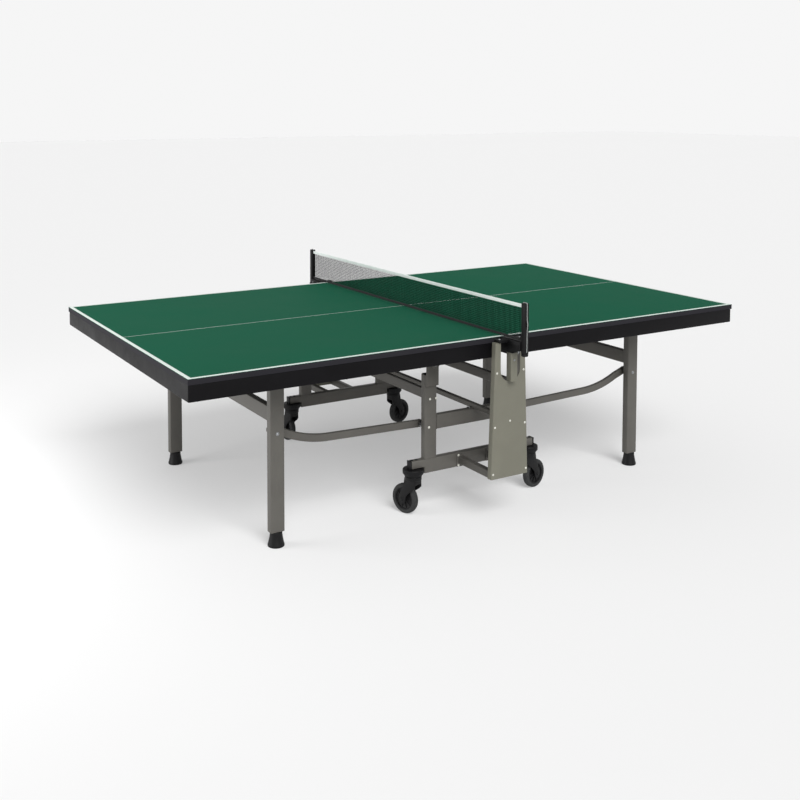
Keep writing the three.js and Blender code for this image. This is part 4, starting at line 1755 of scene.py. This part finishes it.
    def band(self) -> None:
        """Builds the dark band along the net's foot."""
        self.ribbon(Ribbon(
            "net_foot_band", low=self.table + 2.4, high=self.table + 13, depth=2.4, sway=0.5, sags=False,
            finish=BAND_CLOTH, node="net_bottom_band", slot="net_black",
        ))

    def top_tape(self) -> None:
        """Builds the white tape along the net's top."""
        self.ribbon(Ribbon(
            "net_white_tape", low=self.net_top - self.tape + 0.4, high=self.net_top, depth=3.4, sway=0.55,
            sags=True, finish=TAPE_CLOTH, node="net_top_tape", slot="tape_white",
        ))


# ---- the studio ---------------------------------------------------------------------------------


@dataclass
class Studio:
    """Camera, pale floor and soft lights; distances in metres, angles in degrees."""

    eye: tuple[float, float, float] = (-2.6877, -4.1825, 1.7106)
    azimuth: float = -30.29
    drop: float = 3.56
    sensor_mm: float = 36.0
    focal_mm: float = 47.79
    shift: tuple[float, float] = (0.053, -0.2875)
    view_end: float = 200.0
    floor_size: float = 90.0
    floor_gap: float = 0.0005
    wall_top: float = 0.14
    dome_start: float = 0.42
    wall_light: float = 0.92
    dome_light: float = 0.38
    key_light: float = 2.9
    key_spread: float = 38.0
    fill_light: float = 45.0
    fill_size: float = 1.6
    fill_place: tuple[float, float, float] = (-3.3, 0.6, 0.9)
    fill_aim: tuple[float, float, float] = (0.0, 0.2, 0.35)
    key_heading: tuple[float, float, float] = (0.12, 0.74, -0.66)

    def camera(self) -> None:
        """Sets up the camera."""
        data = bpy.data.cameras.new("camera")
        data.sensor_width = self.sensor_mm
        data.lens = self.focal_mm
        data.shift_x, data.shift_y = self.shift
        data.clip_end = self.view_end
        made = bpy.data.objects.new("camera", data)
        bpy.context.scene.collection.objects.link(made)
        turn, drop = math.radians(-self.azimuth), math.radians(self.drop)
        ahead = Vector((math.sin(turn) * math.cos(drop), math.cos(turn) * math.cos(drop), -math.sin(drop)))
        made.rotation_mode = "QUATERNION"
        made.rotation_quaternion = ahead.to_track_quat("-Z", "Y")
        made.location = self.eye
        bpy.context.scene.camera = made

    def floor(self) -> None:
        """Lays the pale paper floor."""
        part = bmesh.new()
        bmesh.ops.create_grid(part, x_segments=12, y_segments=12, size=self.floor_size / 2)
        mesh = bpy.data.meshes.new("studio_floor")
        part.to_mesh(mesh)
        part.free()
        made = bpy.data.objects.new("studio_floor", mesh)
        mesh.materials.append(PAPER.material())
        bpy.context.scene.collection.objects.link(made)
        made.location.z = -self.floor_gap

    def sky(self) -> None:
        """Sets a white wall of light near the horizon under a dimmer dome."""
        world = bpy.data.worlds.new("studio_sky")
        bpy.context.scene.world = world
        world.use_nodes = True
        tree = world.node_tree
        tree.nodes.clear()
        direction = add(tree, "ShaderNodeTexCoord").outputs["Generated"]
        height = add(tree, "ShaderNodeSeparateXYZ", {"Vector": direction}).outputs["Z"]
        strength = add(
            tree, "ShaderNodeMapRange",
            {
                "Value": height, "From Min": self.wall_top, "From Max": self.dome_start,
                "To Min": self.wall_light, "To Max": self.dome_light,
            },
            interpolation_type="SMOOTHSTEP",
        ).outputs["Result"]
        ground = add(tree, "ShaderNodeBackground", {"Color": linear("ffffff"), "Strength": strength})
        add(tree, "ShaderNodeOutputWorld", {"Surface": ground.outputs["Background"]})

    def key(self) -> None:
        """Hangs one broad soft key light in front of the table, a little to the left."""
        data = bpy.data.lights.new("key_light", "SUN")
        data.energy = self.key_light
        data.angle = math.radians(self.key_spread)
        made = bpy.data.objects.new("key_light", data)
        made.rotation_mode = "QUATERNION"
        made.rotation_quaternion = Vector(self.key_heading).to_track_quat("-Z", "Y")
        bpy.context.scene.collection.objects.link(made)

    def fill(self) -> None:
        """Stands a soft box beyond the left end, low enough to reach under the table."""
        data = bpy.data.lights.new("fill_softbox", "AREA")
        data.size = self.fill_size
        data.energy = self.fill_light
        made = bpy.data.objects.new("fill_softbox", data)
        made.location = self.fill_place
        made.visible_camera = False
        made.rotation_mode = "QUATERNION"
        aim = Vector(self.fill_aim) - Vector(self.fill_place)
        made.rotation_quaternion = aim.to_track_quat("-Z", "Y")
        bpy.context.scene.collection.objects.link(made)

    def build(self) -> None:
        """Sets up floor, sky and lights."""
        self.floor()
        self.sky()
        self.key()
        self.fill()
        bpy.context.scene.view_settings.view_transform = "Standard"


def main() -> None:
    """Builds the studio and the table, piece by piece."""
    logging.basicConfig(level=logging.INFO, format="%(name)s: %(message)s")
    studio = Studio()
    studio.camera()
    makers: list[Callable[[], None]] = [NetSet().build, Undercarriage().build]
    headings = {
        (Side.NEAR, Half.LEFT): (-0.30, 0.95),
        (Side.NEAR, Half.RIGHT): (0.98, 0.20),
        (Side.FAR, Half.LEFT): (-0.10, 0.99),
        (Side.FAR, Half.RIGHT): (0.98, 0.18),
    }
    makers += [Caster(side, half, headings[side, half]).build for side, half in CORNERS]
    for half in Half:
        makers += [PlayingHalf(half).build, LegFrame(half).build]
    for build in makers:
        build()
    studio.build()


if __name__ == "__main__":
    main()
